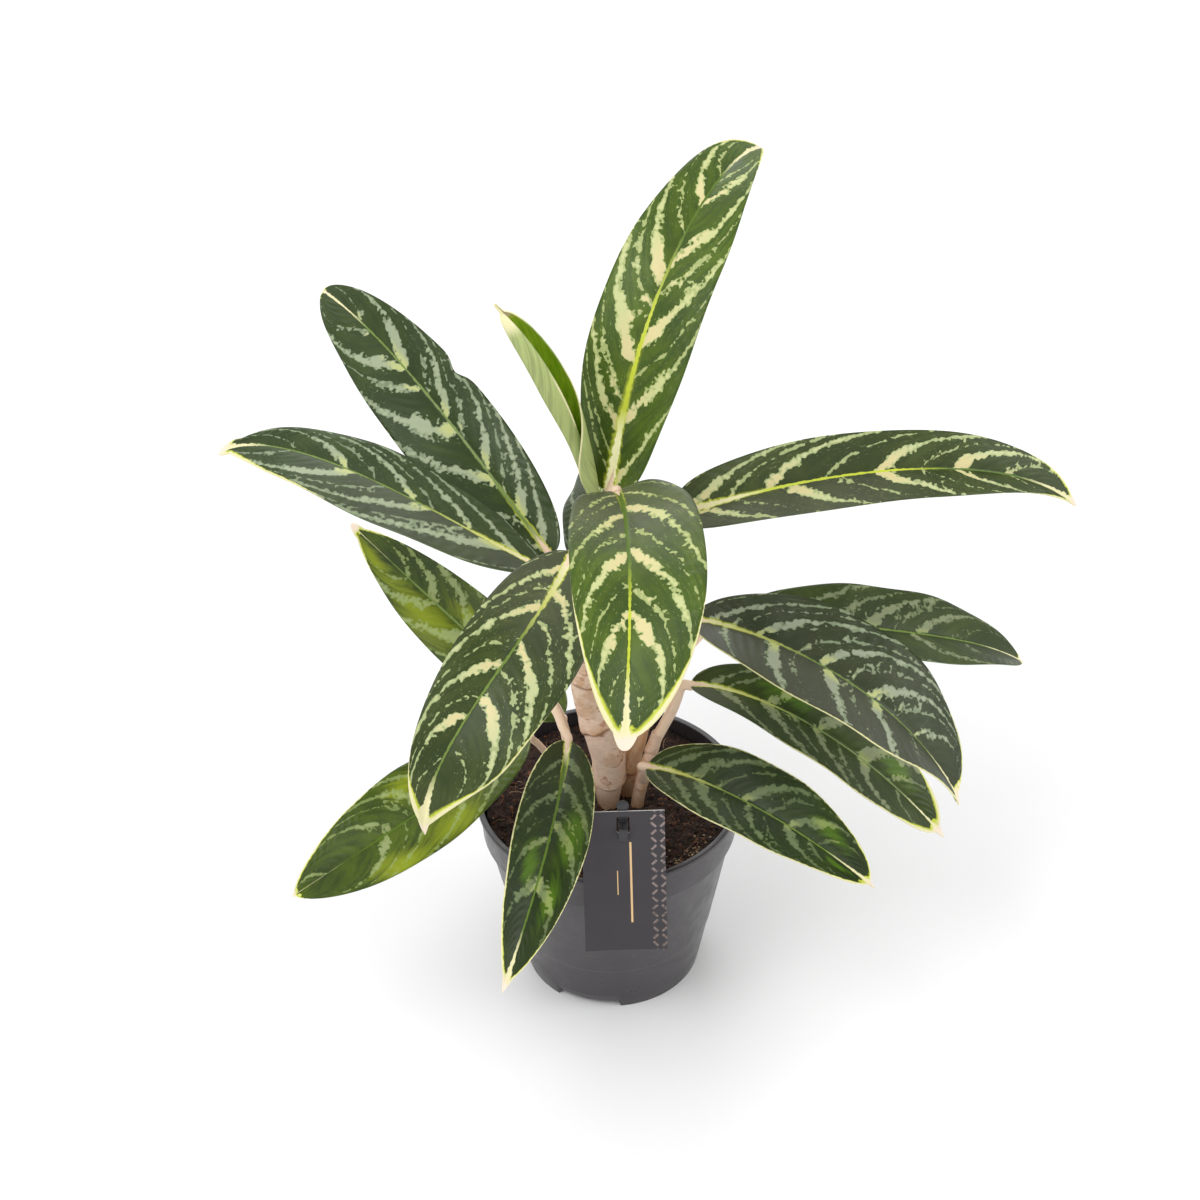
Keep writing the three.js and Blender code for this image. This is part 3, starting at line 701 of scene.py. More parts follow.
# Each leaf: its petiole's route, then its blade, which starts at base, heads off at heading and rise, and
# over its length sweeps sideways and droops. left and right list its stripes from base to tip: the share of
# the blade where a stripe leaves the midrib and its half width in mm. edge says where the pale margin of the
# left and of the right side begins and how wide it is. point is the pale point's length in mm. plainLeaf has
# what a leaf's own entry leaves out: veins are the side veins' slope and bend on the left and on the right,
# fullness widens the stripes and rag makes their borders wilder.
plainLeaf = {
    "skew": 0, "tipSlant": 0, "nicks": [], "tuck": 2.0, "pointWidth": 1.3, "pointShape": 0.9,
    "edge": (1, 0.3, 1, 0.3), "limeTip": 1.2, "haloTo": 0.24, "veins": (1.0, 1.0, 1.0, 1.0),
    "fullness": 1.0, "rag": 1.0, "paintedBacklight": [],
}
leaves = [
    dict(name="leaf_top", petiole=[(0.5, 3.5, 208), (2.5, 3.2, 235)], petioleRadius=2.5,
         base=(4, 2.7, 262), heading=46, rise=76, sweep=17, droop=-104, late=1.75,
         length=189, halfWidth=23.5, baseTaper=0.41, tipTaper=0.65, skew=-0.05, tipSlant=0.25,
         nicks=[(1, 0.68, 0.06, 0.12)], roll=0, twist=16, fold=11,
         look=creamLook, rib="lime", tipRib=1.4, haloTo=0.4, point=4, edge=(0.84, 0.5, 0.84, 0.5),
         veins=(1.05, 0.8, 1.15, 0.8),
         left=[(0.02, 1), (0.07, 0.6), (0.14, 2.6), (0.22, 0.7), (0.31, 3.6), (0.42, 0.9), (0.49, 3),
               (0.6, 0.7), (0.69, 2.4), (0.78, 0.5)],
         right=[(0, 2.2), (0.17, 2.4), (0.27, 0.6), (0.36, 2.6), (0.46, 0.7), (0.54, 2.6), (0.68, 1.6),
                (0.76, 0.5)]),
    dict(name="leaf_young", petiole=[(-5, 7, 208), (-4.2, 5.5, 235)], petioleRadius=2.1,
         base=(-1.6, 3.7, 255), heading=188, rise=78, sweep=9, droop=-22, late=1.7,
         length=113, halfWidth=18, baseTaper=0.5, tipTaper=0.38, roll=-84, twist=0, fold=0,
         curlLeft=((205, 0.66), (196, 1.06), (0.25, 0.62)),
         curlRight=((300, 1.25), (95, 0.66), (-0.02, 0.62)),
         look=youngLook, rib="straw", tipRib=1.5, point=9, pointWidth=2.6, underEdge=0.62,
         left=[(0.97, 0.1)],
         right=[(0.97, 0.1)]),
    dict(name="leaf_back_left", petiole=[(-8, 7, 174), (-12, 14, 193), (-17, 19, 206)], petioleRadius=2.5,
         base=(-22, 24, 213.5), heading=133.5, rise=33.5, sweep=-10.5, droop=-40, late=1.8,
         length=180, halfWidth=22.6, baseTaper=0.41, tipTaper=0.6, skew=0.1, nicks=[(-1, 0.5, 0.16, 0.03)],
         roll=-29, twist=-15, fold=14,
         look=greyLook, rib="moss", tipRib=0.7, point=2.5,
         veins=(0.85, 0.9, 1, 1), fullness=0.95, rag=1.2,
         left=[(0.02, 2), (0.1, 1.5), (0.24, 3), (0.39, 3.4), (0.54, 0.8), (0.62, 3.2), (0.76, 0.6)],
         right=[(0.02, 2.4), (0.12, 2.6), (0.2, 0.8), (0.27, 2.4), (0.37, 0.8), (0.43, 2.6), (0.52, 0.5),
                (0.62, 3), (0.8, 0.8)]),
    dict(name="leaf_left", petiole=[(-9, 3, 178), (-15, 4, 200), (-20, 2.5, 215)], petioleRadius=2.4,
         base=(-24.5, 1, 224), heading=161.5, rise=22.5, sweep=-23, droop=-62.5, late=2.1,
         length=178, halfWidth=20, baseTaper=0.54, tipTaper=0.82, skew=0.1, roll=2, twist=-25, fold=4.5,
         look=greyLook, rib="straw", tipRib=2, point=10, pointWidth=4.6, pointShape=0.45,
         edge=(0.55, 0.85, 0.93, 0.5),
         veins=(1.15, 2, 1.2, 1.6), fullness=0.92, paintedSheen=(0.28, 0.05, 0.55),
         left=[(0.13, 3), (0.22, 0.6), (0.32, 2.4), (0.43, 0.7), (0.52, 3.4), (0.72, 0.6)],
         right=[(0.07, 1.6), (0.2, 1.8), (0.3, 0.5), (0.36, 2), (0.46, 0.4), (0.54, 2.4), (0.7, 0.6)]),
    dict(name="leaf_low_back_left", petiole=[(-17.5, 15.8, 107), (-18.9, 18.4, 114), (-19.8, 20.6, 119.5)],
         petioleRadius=1.6, tuck=0.6,
         base=(-20, 22, 123.5), heading=143, rise=23.5, sweep=-16.5, droop=-19, late=1.4,
         length=146, halfWidth=18.5, baseTaper=0.46, tipTaper=0.77, roll=-23, twist=-29, fold=12,
         look=sunnyLook, rib="moss", tipRib=0.2, point=7, pointWidth=3, pointShape=0.5,
         edge=(0.8, 0.5, 0.8, 0.5),
         veins=(0.9, 0.8, 0.9, 0.8), fullness=0.85, rag=1.2,
         paintedBacklight=[(0.56, 0.5, 1.7), (0.85, 0.55, 1.3), (0.42, -0.3, 0.9)],
         left=[(0.1, 2), (0.25, 2.4), (0.4, 3.4), (0.56, 3), (0.7, 0.8)],
         right=[(0.12, 2), (0.27, 2.4), (0.41, 3.4), (0.57, 3), (0.7, 1.2)]),
    dict(name="leaf_front_left", petiole=[(-7, 0, 192), (-9, -4, 220), (-10.5, -6.5, 235)],
         petioleRadius=2.4,
         base=(-12, -9, 240), heading=247.5, rise=-13.5, sweep=-37, droop=-80.5, late=2.4,
         length=146, halfWidth=24.8, baseTaper=0.54, tipTaper=0.84, skew=0.13,
         nicks=[(1, 0.74, -0.2, 0.16)], roll=-16, twist=-28, fold=10,
         look=deepLook, rib="sharp", tipRib=3, point=8, pointWidth=2.6, limeTip=3,
         edge=(0.5, 0.8, 0.8, 0.6), tipEdge=3,
         veins=(0.6, 0.9, 0.6, 1.1), fullness=0.88, paintedSheen=(0.25, 0.3, 0.3),
         left=[(0.15, 2.4), (0.26, 0.8), (0.35, 2.8), (0.44, 0.7), (0.53, 2.8), (0.68, 0.6)],
         right=[(0.05, 2.4), (0.14, 0.5), (0.22, 2.6), (0.34, 0.5), (0.43, 2.2), (0.54, 0.5), (0.6, 2.6),
                (0.74, 0.5)]),
    dict(name="leaf_front", petiole=[(-1, -1.5, 198), (3.5, -7.5, 238), (6.3, -9.7, 264)],
         petioleRadius=2.2, tuck=0.5,
         base=(7, -12, 273), heading=276.5, rise=28.5, sweep=-14.5, droop=-80, late=1.05,
         length=148, halfWidth=28, baseTaper=0.57, tipTaper=0.6, skew=0.1, roll=8, twist=-26, fold=17,
         look=creamLook, rib="fresh", tipRib=2.4, point=7.5, pointWidth=5.4, pointShape=0.45, limeTip=2,
         edge=(0.62, 0.8, 0.62, 0.8), tipEdge=3,
         veins=(1.25, 0.6, 1.05, 0.6), fullness=0.9, paintedSheen=(0.42, 0.48, 0.42),
         left=[(0.04, 1.2), (0.18, 2.4), (0.31, 0.6), (0.41, 2.6), (0.55, 0.6), (0.63, 2.6), (0.8, 0.5)],
         right=[(0.05, 1.4), (0.13, 0.5), (0.23, 2.2), (0.34, 0.5), (0.43, 2.4), (0.54, 0.5), (0.63, 2.4),
                (0.76, 0.5)]),
    dict(name="leaf_low_left",
         petiole=[(-18, 13.5, 92), (-21.5, 11, 100.5), (-26, 6, 113), (-30.5, 1.5, 125), (-33, -2, 131)],
         petioleRadius=1.5, tuck=1,
         base=(-35, -6.5, 136), heading=221.5, rise=-4.5, sweep=-3, droop=-1.5, late=1.4,
         length=131, halfWidth=21, baseTaper=0.61, tipTaper=0.69, roll=-3.5, twist=-43, fold=15,
         look=sunnyLook, rib="green", tipRib=0.08, point=2.5, edge=(1, 0.3, 0.55, 0.4),
         veins=(0.7, 1, 0.7, 1.1), fullness=0.75,
         paintedBacklight=[(0.64, 0.8, 1.1), (0.48, -0.6, 0.8), (0.42, 0.7, 1.3)],
         left=[(0.1, 2.4), (0.28, 2.4), (0.45, 1.2), (0.53, 0.6), (0.62, 2.2)],
         right=[(0.1, 2.4), (0.28, 2.4), (0.42, 2.4), (0.5, 0.4), (0.6, 2), (0.86, 1.2)]),
    dict(name="leaf_low_front", petiole=[(-15.8, 11, 98), (-17.2, 12.4, 113), (-19.2, 12.3, 126.5),
         (-22, 10.5, 138.5), (-24.2, 4.5, 146.8), (-21.3, -3.5, 146), (-19.4, -9.8, 144)],
         petioleRadius=1.8, tuck=1.2,
         base=(-17.2, -16, 142), heading=265, rise=-1.5, sweep=-16, droop=-23, late=1.4,
         length=133.5, halfWidth=16.8, baseTaper=0.56, tipTaper=0.75, roll=-13, twist=-16.5, fold=12.5,
         look=dullLook, rib="green", tipRib=1.2, point=8, pointWidth=2.6, edge=(0, 0.3, 0, 0.5),
         veins=(0.9, 1, 0.75, 1.2), fullness=0.85,
         paintedBacklight=[(0.42, 0.55, 1.2), (0.66, 0.5, 0.9), (0.56, -0.35, 0.9)],
         left=[(0.08, 2.2), (0.2, 2.4), (0.32, 0.6), (0.38, 2.4), (0.6, 2.4)],
         right=[(0.09, 1.4), (0.16, 0.4), (0.25, 2.2), (0.35, 0.4), (0.44, 2.2), (0.61, 2.2)]),
    dict(name="leaf_low_right", petiole=[(15.6, -2.5, 106), (16.2, -9, 117)], petioleRadius=1.9,
         base=(17.5, -14.7, 124.5), heading=321.5, rise=27, sweep=2, droop=-48.5, late=0.56,
         length=122, halfWidth=19.5, baseTaper=0.57, tipTaper=0.64, skew=0.04, roll=23, twist=-15, fold=15,
         look=dullLook, rib="straw", tipRib=1, point=6, edge=(0, 0.35, 0, 0.35),
         veins=(0.65, 0.9, 0.65, 0.9), paintedBacklight=[(0.76, 0.5, 0.8), (0.86, -0.3, 0.6)],
         left=[(0, 1.6), (0.09, 2.4), (0.21, 2.2), (0.32, 0.6), (0.42, 2.4), (0.53, 0.6), (0.63, 2.4),
               (0.75, 0.6)],
         right=[(0.02, 1.4), (0.12, 2.2), (0.25, 2.2), (0.35, 0.6), (0.44, 2.2), (0.52, 0.5), (0.62, 2.4),
                (0.72, 0.7)]),
    dict(name="leaf_right", petiole=[(26.5, 2.5, 178), (31, -1.5, 192)], petioleRadius=2.3,
         base=(37, -8, 202), heading=328.5, rise=17, sweep=30, droop=-88, late=0.8,
         length=158, halfWidth=28, baseTaper=0.68, tipTaper=0.56, skew=-0.03, tipSlant=0.4, roll=23,
         twist=-15, fold=21,
         look=silverLook, rib="straw", tipRib=1.2, point=8, pointWidth=2.8, pointShape=0.55,
         edge=(0.75, 0.4, 0, 0.45),
         veins=(0.7, 1.3, 0.35, 0.15), rag=1.2, paintedSheen=(0.05, 0.32, 0.7),
         left=[(0.04, 1.8), (0.12, 0.6), (0.2, 2.2), (0.32, 0.6), (0.38, 2), (0.47, 0.6), (0.55, 2.2),
               (0.63, 0.5), (0.72, 1.2)],
         right=[(0.1, 1.2), (0.24, 3), (0.31, 0.5), (0.41, 3.4), (0.49, 0.5), (0.57, 3.4), (0.7, 0.5)]),
    dict(name="leaf_under_right", petiole=[(21.5, 0, 127), (29.5, 1.3, 144)], petioleRadius=2.2,
         base=(37.5, 2, 157), heading=349.5, rise=22.5, sweep=-3, droop=-75, late=0.36,
         length=142, halfWidth=20, baseTaper=0.53, tipTaper=0.6, roll=7.5, twist=19.5, fold=14,
         look=oliveLook, rib="straw", tipRib=1, point=9, pointWidth=2.8, edge=(0.6, 0.4, 0.3, 0.4),
         tipEdge=1.8,
         veins=(0.7, 0.8, 0.6, 0.7), fullness=1.05, rag=1.15, paintedSheen=(0, 0.25, 0.1),
         paintedBacklight=[(0.3, 0.4, 0.9), (0.72, 0.4, 0.8)],
         left=[(0.05, 1.5), (0.12, 0.7), (0.25, 2.2), (0.42, 2), (0.6, 2.6), (0.72, 0.6)],
         right=[(0.1, 1.8), (0.25, 3), (0.35, 0.5), (0.42, 2.6), (0.51, 0.6), (0.6, 2.6), (0.75, 0.5)]),
    dict(name="leaf_back_right", petiole=[(20, 5, 148), (32, 14, 161), (48, 25, 173)], petioleRadius=2.1,
         base=(63, 31, 174), heading=0, rise=-14.5, sweep=30, droop=-31, late=2.2,
         length=154, halfWidth=20.8, baseTaper=0.53, tipTaper=0.64, roll=18, twist=0, fold=15,
         look=oliveLook, rib="moss", tipRib=0.6, point=4,
         veins=(1.2, 1, 0.5, 1.3), rag=1.2,
         left=[(0.1, 2), (0.25, 1.4), (0.36, 2.4), (0.46, 0.6), (0.55, 2.2), (0.7, 0.5)],
         right=[(0.1, 1.6), (0.3, 2), (0.53, 1.8), (0.7, 0.6)]),
    dict(name="leaf_upper_right", petiole=[(1.5, 8.5, 196), (9, 8, 221), (20, 6.7, 239)], petioleRadius=2.3,
         base=(33, 5.5, 247.5), heading=348.5, rise=26, sweep=45, droop=-76, late=1.24,
         length=198, halfWidth=17.6, baseTaper=0.3, tipTaper=0.58, tipSlant=0.35, roll=34, twist=9, fold=26,
         look=deepLook, rib="long", tipRib=1.5, point=8, pointWidth=2.6, pointShape=0.55,
         edge=(0.8, 0.5, 0.8, 0.5),
         veins=(0.9, 1.7, 1.3, 0.6), fullness=0.9, paintedSheen=(0.05, 0.28, 0.5),
         left=[(0.03, 2.6), (0.12, 0.8), (0.2, 2.6), (0.33, 0.9), (0.44, 2.6), (0.54, 0.7), (0.62, 4),
               (0.74, 0.7)],
         right=[(0.04, 2), (0.13, 0.5), (0.24, 2.4), (0.36, 0.5), (0.44, 3), (0.54, 0.5), (0.62, 1.8),
                (0.75, 0.6)]),
    dict(name="leaf_back", petiole=[(-4, 8, 186), (-6, 15, 200)], petioleRadius=2.2,
         base=(-8, 22, 211), heading=76.5, rise=25, sweep=7, droop=-57.5, late=1,
         length=127, halfWidth=21, baseTaper=0.5, tipTaper=0.61, roll=-36.5, twist=-28, fold=10,
         look=greyLook, rib="moss", tipRib=1.2, point=4, edge=(0.8, 0.4, 0.8, 0.4),
         left=[(0.12, 2), (0.3, 2), (0.5, 2), (0.7, 2)],
         right=[(0.12, 2), (0.3, 2), (0.5, 2), (0.7, 2)]),
]
leaves = [{**plainLeaf, **leaf} for leaf in leaves]

blade = {
    "thickness": 0.55, "stretches": 150, "acrossHalf": 15, "midribSteps": 240, "bow": 0.1, "ribGroove": 0.45,
    "ribGrooveWidth": 1.3, "veinSpacing": 0.034, "quilting": 0.24, "wave": 0.035, "waves": 3.2,
    "pointOverlap": 0.55, "neckWidth": 0.8, "neckFade": 40, "merge": 1e-3,
}
petiole = {
    "sides": 16, "stretches": 26, "ribStretches": 40, "ribEnd": 0.985, "ribTaper": 0.33, "tipRadius": 0.45,
    "swell": 1.15, "sink": 0.35, "clear": 0.12,
    "light": (241, 214, 190), "dark": (226, 196, 166), "rib": (176, 186, 126),
}
# Sizes and reaches are in mm. outward lists the stripes that start below the blade's base.
stripe = {
    "reach": 20.0, "widest": 6.0, "coarse": 4.6, "coarseRag": 4.8, "fine": 1.8, "fineRag": 4.8,
    "fineDetail": 0.7, "snakeSize": 8.0, "snake": 6.0, "swellSize": 12.0, "gapSize": 3.0, "veinSize": 22.0,
    "veinWander": 0.05, "streakLength": 5.0, "streakFineness": 2.5, "speckSize": 0.13,
    "outward": [(-0.62, 0.5), (-0.47, 1.2), (-0.32, 0.6), (-0.16, 1.4)],
}


def sideOf(s):
    return 1 if s > 0 else -1


def bladeFrame(leaf, t):
    heading = math.radians(leaf["heading"] + leaf["sweep"] * t)
    rise = math.radians(leaf["rise"] + leaf["droop"] * t ** leaf["late"])
    roll = math.radians(leaf["roll"] + leaf["twist"] * t)
    along = Vector((math.cos(rise) * math.cos(heading), math.cos(rise) * math.sin(heading), math.sin(rise)))
    level = Vector((-math.sin(heading), math.cos(heading), 0))
    left = level * math.cos(roll) + along.cross(level) * math.sin(roll)
    return along, left, along.cross(left)


def midribPoints(leaf):
    steps = blade["midribSteps"]
    points = [Vector(leaf["base"])]
    for step in range(steps):
        along = bladeFrame(leaf, (step + 0.5) / steps)[0]
        points.append(points[-1] + along * leaf["length"] / steps)
    return points


def pointOn(points, t):
    position = min(max(t, 0.0), 1.0) * (len(points) - 1)
    before = min(int(position), len(points) - 2)
    return points[before].lerp(points[before + 1], position - before)


# The blade ends in a short narrow point, and its outline closes just before it.
def halfWidthAt(leaf, t, side):
    widest = leaf["baseTaper"] / (leaf["baseTaper"] + leaf["tipTaper"])

    def shape(s):
        return s ** leaf["baseTaper"] * (1 - s) ** leaf["tipTaper"]
    pointShare = leaf["point"] / leaf["length"]
    inner = min(t / (1 - blade["pointOverlap"] * pointShare), 1.0)
    body = leaf["halfWidth"] * shape(inner) / shape(widest) * (1 + side * leaf["skew"])
    if side < 0:
        body *= 1 - leaf["tipSlant"] * ease(0.55, 1, t)
    for nickSide, place, depth, reach in leaf["nicks"]:
        if nickSide == side:
            body *= 1 - depth * hump(t - place, reach)
    point = leaf["pointWidth"] * min(1.0, (1 - t) / pointShare) ** leaf["pointShape"]
    neck = leaf["petioleRadius"] * blade["neckWidth"] * (1 - t) ** blade["neckFade"]
    return max(body, point if t > 0.5 else 0.0, neck)


# Where the side vein through a point leaves the midrib, as a share of the blade.
def veinStart(leaf, t, s):
    slope, bend = leaf["veins"][:2] if s > 0 else leaf["veins"][2:]
    return t - leaf["halfWidth"] / leaf["length"] * (slope * abs(s) + bend * abs(s) ** 3)


def bladePoint(leaf, middle, t, s):
    left, up = bladeFrame(leaf, t)[1:]
    side, reach = sideOf(s), abs(s)
    width = halfWidthAt(leaf, t, side)
    if "curlLeft" in leaf:
        return middle + curledPlace(leaf, left, up, t, s, width), width
    fold = math.radians(leaf["fold"])
    across = (left * side * math.cos(fold) + up * math.sin(fold)) * width * reach
    seed = leaf["length"] + side * 7.3
    calm = ease(0.0, 0.12, t) * ease(1.0, 0.9, t)
    wave = width * blade["wave"] * reach ** 2 * math.sin(math.tau * (blade["waves"] * t + seed)) * calm
    bow = blade["bow"] * width * reach * (1 - reach) * calm
    groove = blade["ribGroove"] * hump(width * reach, blade["ribGrooveWidth"]) * (1 - 0.7 * t)
    vein = math.cos(math.tau * veinStart(leaf, t, s) / blade["veinSpacing"])
    quilt = -blade["quilting"] * vein * ease(0.04, 0.3, reach) * ease(1.0, 0.8, reach) * calm
    return middle + across + up * (wave + bow - groove + quilt), width


# A half of a leaf that is still rolled up bends round into an arc. Its curl has the arc's degrees and its
# share of the half's width, at the base and towards the tip, and the stretch of blade over which it opens.
def curlAt(leaf, t, s):
    atBase, towardsTip, opens = leaf["curlLeft"] if s > 0 else leaf["curlRight"]
    opened = ease(*opens, t)
    return math.radians(mix(atBase[0], towardsTip[0], opened)), mix(atBase[1], towardsTip[1], opened)


def curledPlace(leaf, left, up, t, s, width):
    turn, share = curlAt(leaf, t, s)
    radius = max(width, petiole["tipRadius"]) * share / turn
    angle = turn * abs(s)
    return left * sideOf(s) * radius * math.sin(angle) + up * radius * (1 - math.cos(angle))


# The blade's cells are narrower near its ends.
def spread(share):
    return mix(share, 0.5 - 0.5 * math.cos(math.pi * share), 0.75)


def makeBlade(bm, leaf, points):
    uv = bm.loops.layers.uv.new("blade")
    names = ("veinStart", "fromRib", "fromEdge", "alongBlade", "acrossBlade")
    layers = [bm.verts.layers.float.new(name) for name in names]
    bmesh.ops.create_grid(bm, x_segments=blade["stretches"], y_segments=2 * blade["acrossHalf"], size=0.5)
    places = {vert: (spread(vert.co.x + 0.5), vert.co.y * 2) for vert in bm.verts}
    for face in bm.faces:
        for loop in face.loops:
            t, s = places[loop.vert]
            loop[uv].uv = (t, 0.5 + 0.5 * s)
    for vert, (t, s) in places.items():
        vert.co, width = bladePoint(leaf, pointOn(points, t), t, s)
        values = (veinStart(leaf, t, s), width * abs(s), width * (1 - abs(s)), t, s)
        for layer, value in zip(layers, values):
            vert[layer] = value
    if "curlLeft" not in leaf:
        bmesh.ops.remove_doubles(bm, verts=bm.verts, dist=blade["merge"])
    topFaces = list(bm.faces)
    grown = bmesh.ops.extrude_face_region(bm, geom=topFaces, use_keep_orig=True)["geom"]
    for vert in grown:
        if isinstance(vert, bmesh.types.BMVert):
            vert.co -= faceUp(leaf, *(vert[layer] for layer in layers[3:])) * blade["thickness"]
    for face in bm.faces:
        face.material_index = 1
    for face in topFaces:
        face.material_index = 0
    bmesh.ops.recalc_face_normals(bm, faces=bm.faces)


# Which way the blade's upper side looks: in a rolled half it turns with the arc.
def faceUp(leaf, t, s):
    left, up = bladeFrame(leaf, t)[1:]
    if "curlLeft" not in leaf:
        return up
    angle = curlAt(leaf, t, s)[0] * abs(s)
    return up * math.cos(angle) - left * sideOf(s) * math.sin(angle)


# The petiole runs into the blade's base and goes on as the rib that stands out on its underside.
def makePetiole(bm, leaf, points):
    radius = leaf["petioleRadius"]
    along, left, up = bladeFrame(leaf, 0)
    route = [Vector(point) for point in leaf["petiole"]]
    route.append(points[0] - along * leaf["tuck"] * radius)
    route.append(points[0] - up * radius * petiole["sink"])
    stations, shares = [], []
    count = petiole["stretches"]
    smooth = smoothRoute(route, count)
    for step, middle in enumerate(smooth):
        direction = (smooth[min(step + 1, count)] - smooth[max(step - 1, 0)]).normalized()
        across = (left - direction * left.dot(direction)).normalized()
        size = radius * mix(petiole["swell"], 1.0, step / count)
        stations.append((middle, across * size, direction.cross(across) * size))
        shares.append(0.0)
    for step in range(1, petiole["ribStretches"] + 1):
        t = (step / petiole["ribStretches"]) ** 1.3 * petiole["ribEnd"]
        across, lift = bladeFrame(leaf, t)[1:]
        size = mix(radius, petiole["tipRadius"], t ** petiole["ribTaper"])
        sunk = mix(radius * petiole["sink"], size + petiole["clear"], ease(0, 0.06, t))
        sunk += blade["ribGroove"] * (1 - 0.7 * t) * ease(0, 0.1, t)
        stations.append((pointOn(points, t) - lift * sunk, across * size, lift * size))
        shares.append(t)
    alongLayer = bm.verts.layers.float["alongBlade"]
    verts = sweepCircle(bm, stations, petiole["sides"], material=2)
    for index, vert in enumerate(verts):
        vert[alongLayer] = shares[index // petiole["sides"]]


# Red tells how near the nearest stripe's line is (1 on it, 0 at the stripes' reach), green its half width.
def stripeChannels(tree, phase, leaf, marks):
    lost = leaf["length"] / stripe["reach"]
    marks = [mark for mark in stripe["outward"] if mark[0] < marks[0][0] - 0.1] + marks
    marks.append((marks[-1][0] + 0.16, 0.3))
    stops = [(0.0, (0, 0, 0, 1))]
    for (start, width), (after, _) in zip(marks, marks[1:]):
        fill = width * leaf["fullness"] / stripe["widest"]
        gap = (after - start) / 2
        stops.append(((start + 1) / 2, (1, fill, 0, 1)))
        stops.append(((start + gap + 1) / 2, (max(0.0, 1 - gap * lost), fill, 0, 1)))
    stops.append((1.0, (0, 0, 0, 1)))
    return colourAlong(tree, phase, stops)[0]


def sideValue(tree, onLeft, left, right):
    return calc(tree, "MULTIPLY_ADD", onLeft, minus(tree, left, right), right)


# Where a point is on the blade: along it, across it (-1 to 1), how far out, and whether on the left.
def bladeInputs(tree):
    uv = tree.nodes.new("ShaderNodeUVMap")
    uv.uv_map = "blade"
    t, v = axesOf(tree, uv.outputs[0])[:2]
    s = calc(tree, "MULTIPLY_ADD", v, 2.0, -1.0)
    return t, s, calc(tree, "ABSOLUTE", s), calc(tree, "GREATER_THAN", v, 0.5)


# Noise drawn out along the side veins, finer or coarser lengthwise and sideways.
def alongVeins(tree, leaf, vein, s, stretch, fineness):
    place = tree.nodes.new("ShaderNodeCombineXYZ")
    plug(tree, times(tree, vein, leaf["length"] / stretch), place.inputs[0])
    plug(tree, times(tree, s, fineness), place.inputs[1])
    return place.outputs[0]


# How slanting the side veins are at the midrib and at the margin: the sine of their angle to the midrib.
def veinSlants(slope, bend):
    return 1 / math.hypot(1, slope), 1 / math.hypot(1, slope + 3 * bend)


# How far inside a stripe a point is, in mm. Stripes swell and thin out, thin ones break up into dashes, and
# the borders are ragged.
def stripeDepth(tree, leaf, where, phase, reach, onLeft, rag):
    spot = calc(tree, "MULTIPLY_ADD", phase, 0.5, 0.5)
    channels = tree.nodes.new("ShaderNodeSeparateColor")
    right, left = [stripeChannels(tree, spot, leaf, leaf[side]) for side in ("right", "left")]
    plug(tree, blend(tree, onLeft, right, left), channels.inputs[0])
    sides = leaf["veins"][:2], leaf["veins"][2:]
    slant = sideValue(tree, onLeft, *[fade(tree, reach, 0, 1, *veinSlants(*side)) for side in sides])
    distance = calc(tree, "MULTIPLY_ADD", channels.outputs[0], -stripe["reach"], stripe["reach"])
    distance = times(tree, distance, slant)
    taper = fade(tree, reach, 0.2, 0.95, 1.1, 0.36)
    taper = times(tree, fade(tree, reach, 0.0, 0.1, 0.65, 1.0), taper)
    half = times(tree, times(tree, channels.outputs[1], stripe["widest"]), taper)
    thin = fade(tree, half, 1.0, 0.5, 0.0, 1.3)
    gaps = fade(tree, grain(tree, where, stripe["gapSize"], 1), 0.54, 0.62)
    swell = fade(tree, grain(tree, where, stripe["swellSize"], 1), 0.3, 0.7, 0.7, 1.35)
    half = minus(tree, times(tree, half, swell), times(tree, gaps, thin))
    ragged = times(tree, rag, fade(tree, half, 0.4, 1.6, 0.22 * leaf["rag"], leaf["rag"]))
    return plus(tree, minus(tree, half, distance), ragged), distance


# Noise around zero that reaches about size millimetres.
def unevenness(tree, where, lump, size, detail=2.0):
    return calc(tree, "MULTIPLY_ADD", grain(tree, where, lump, detail), size, -size / 2)


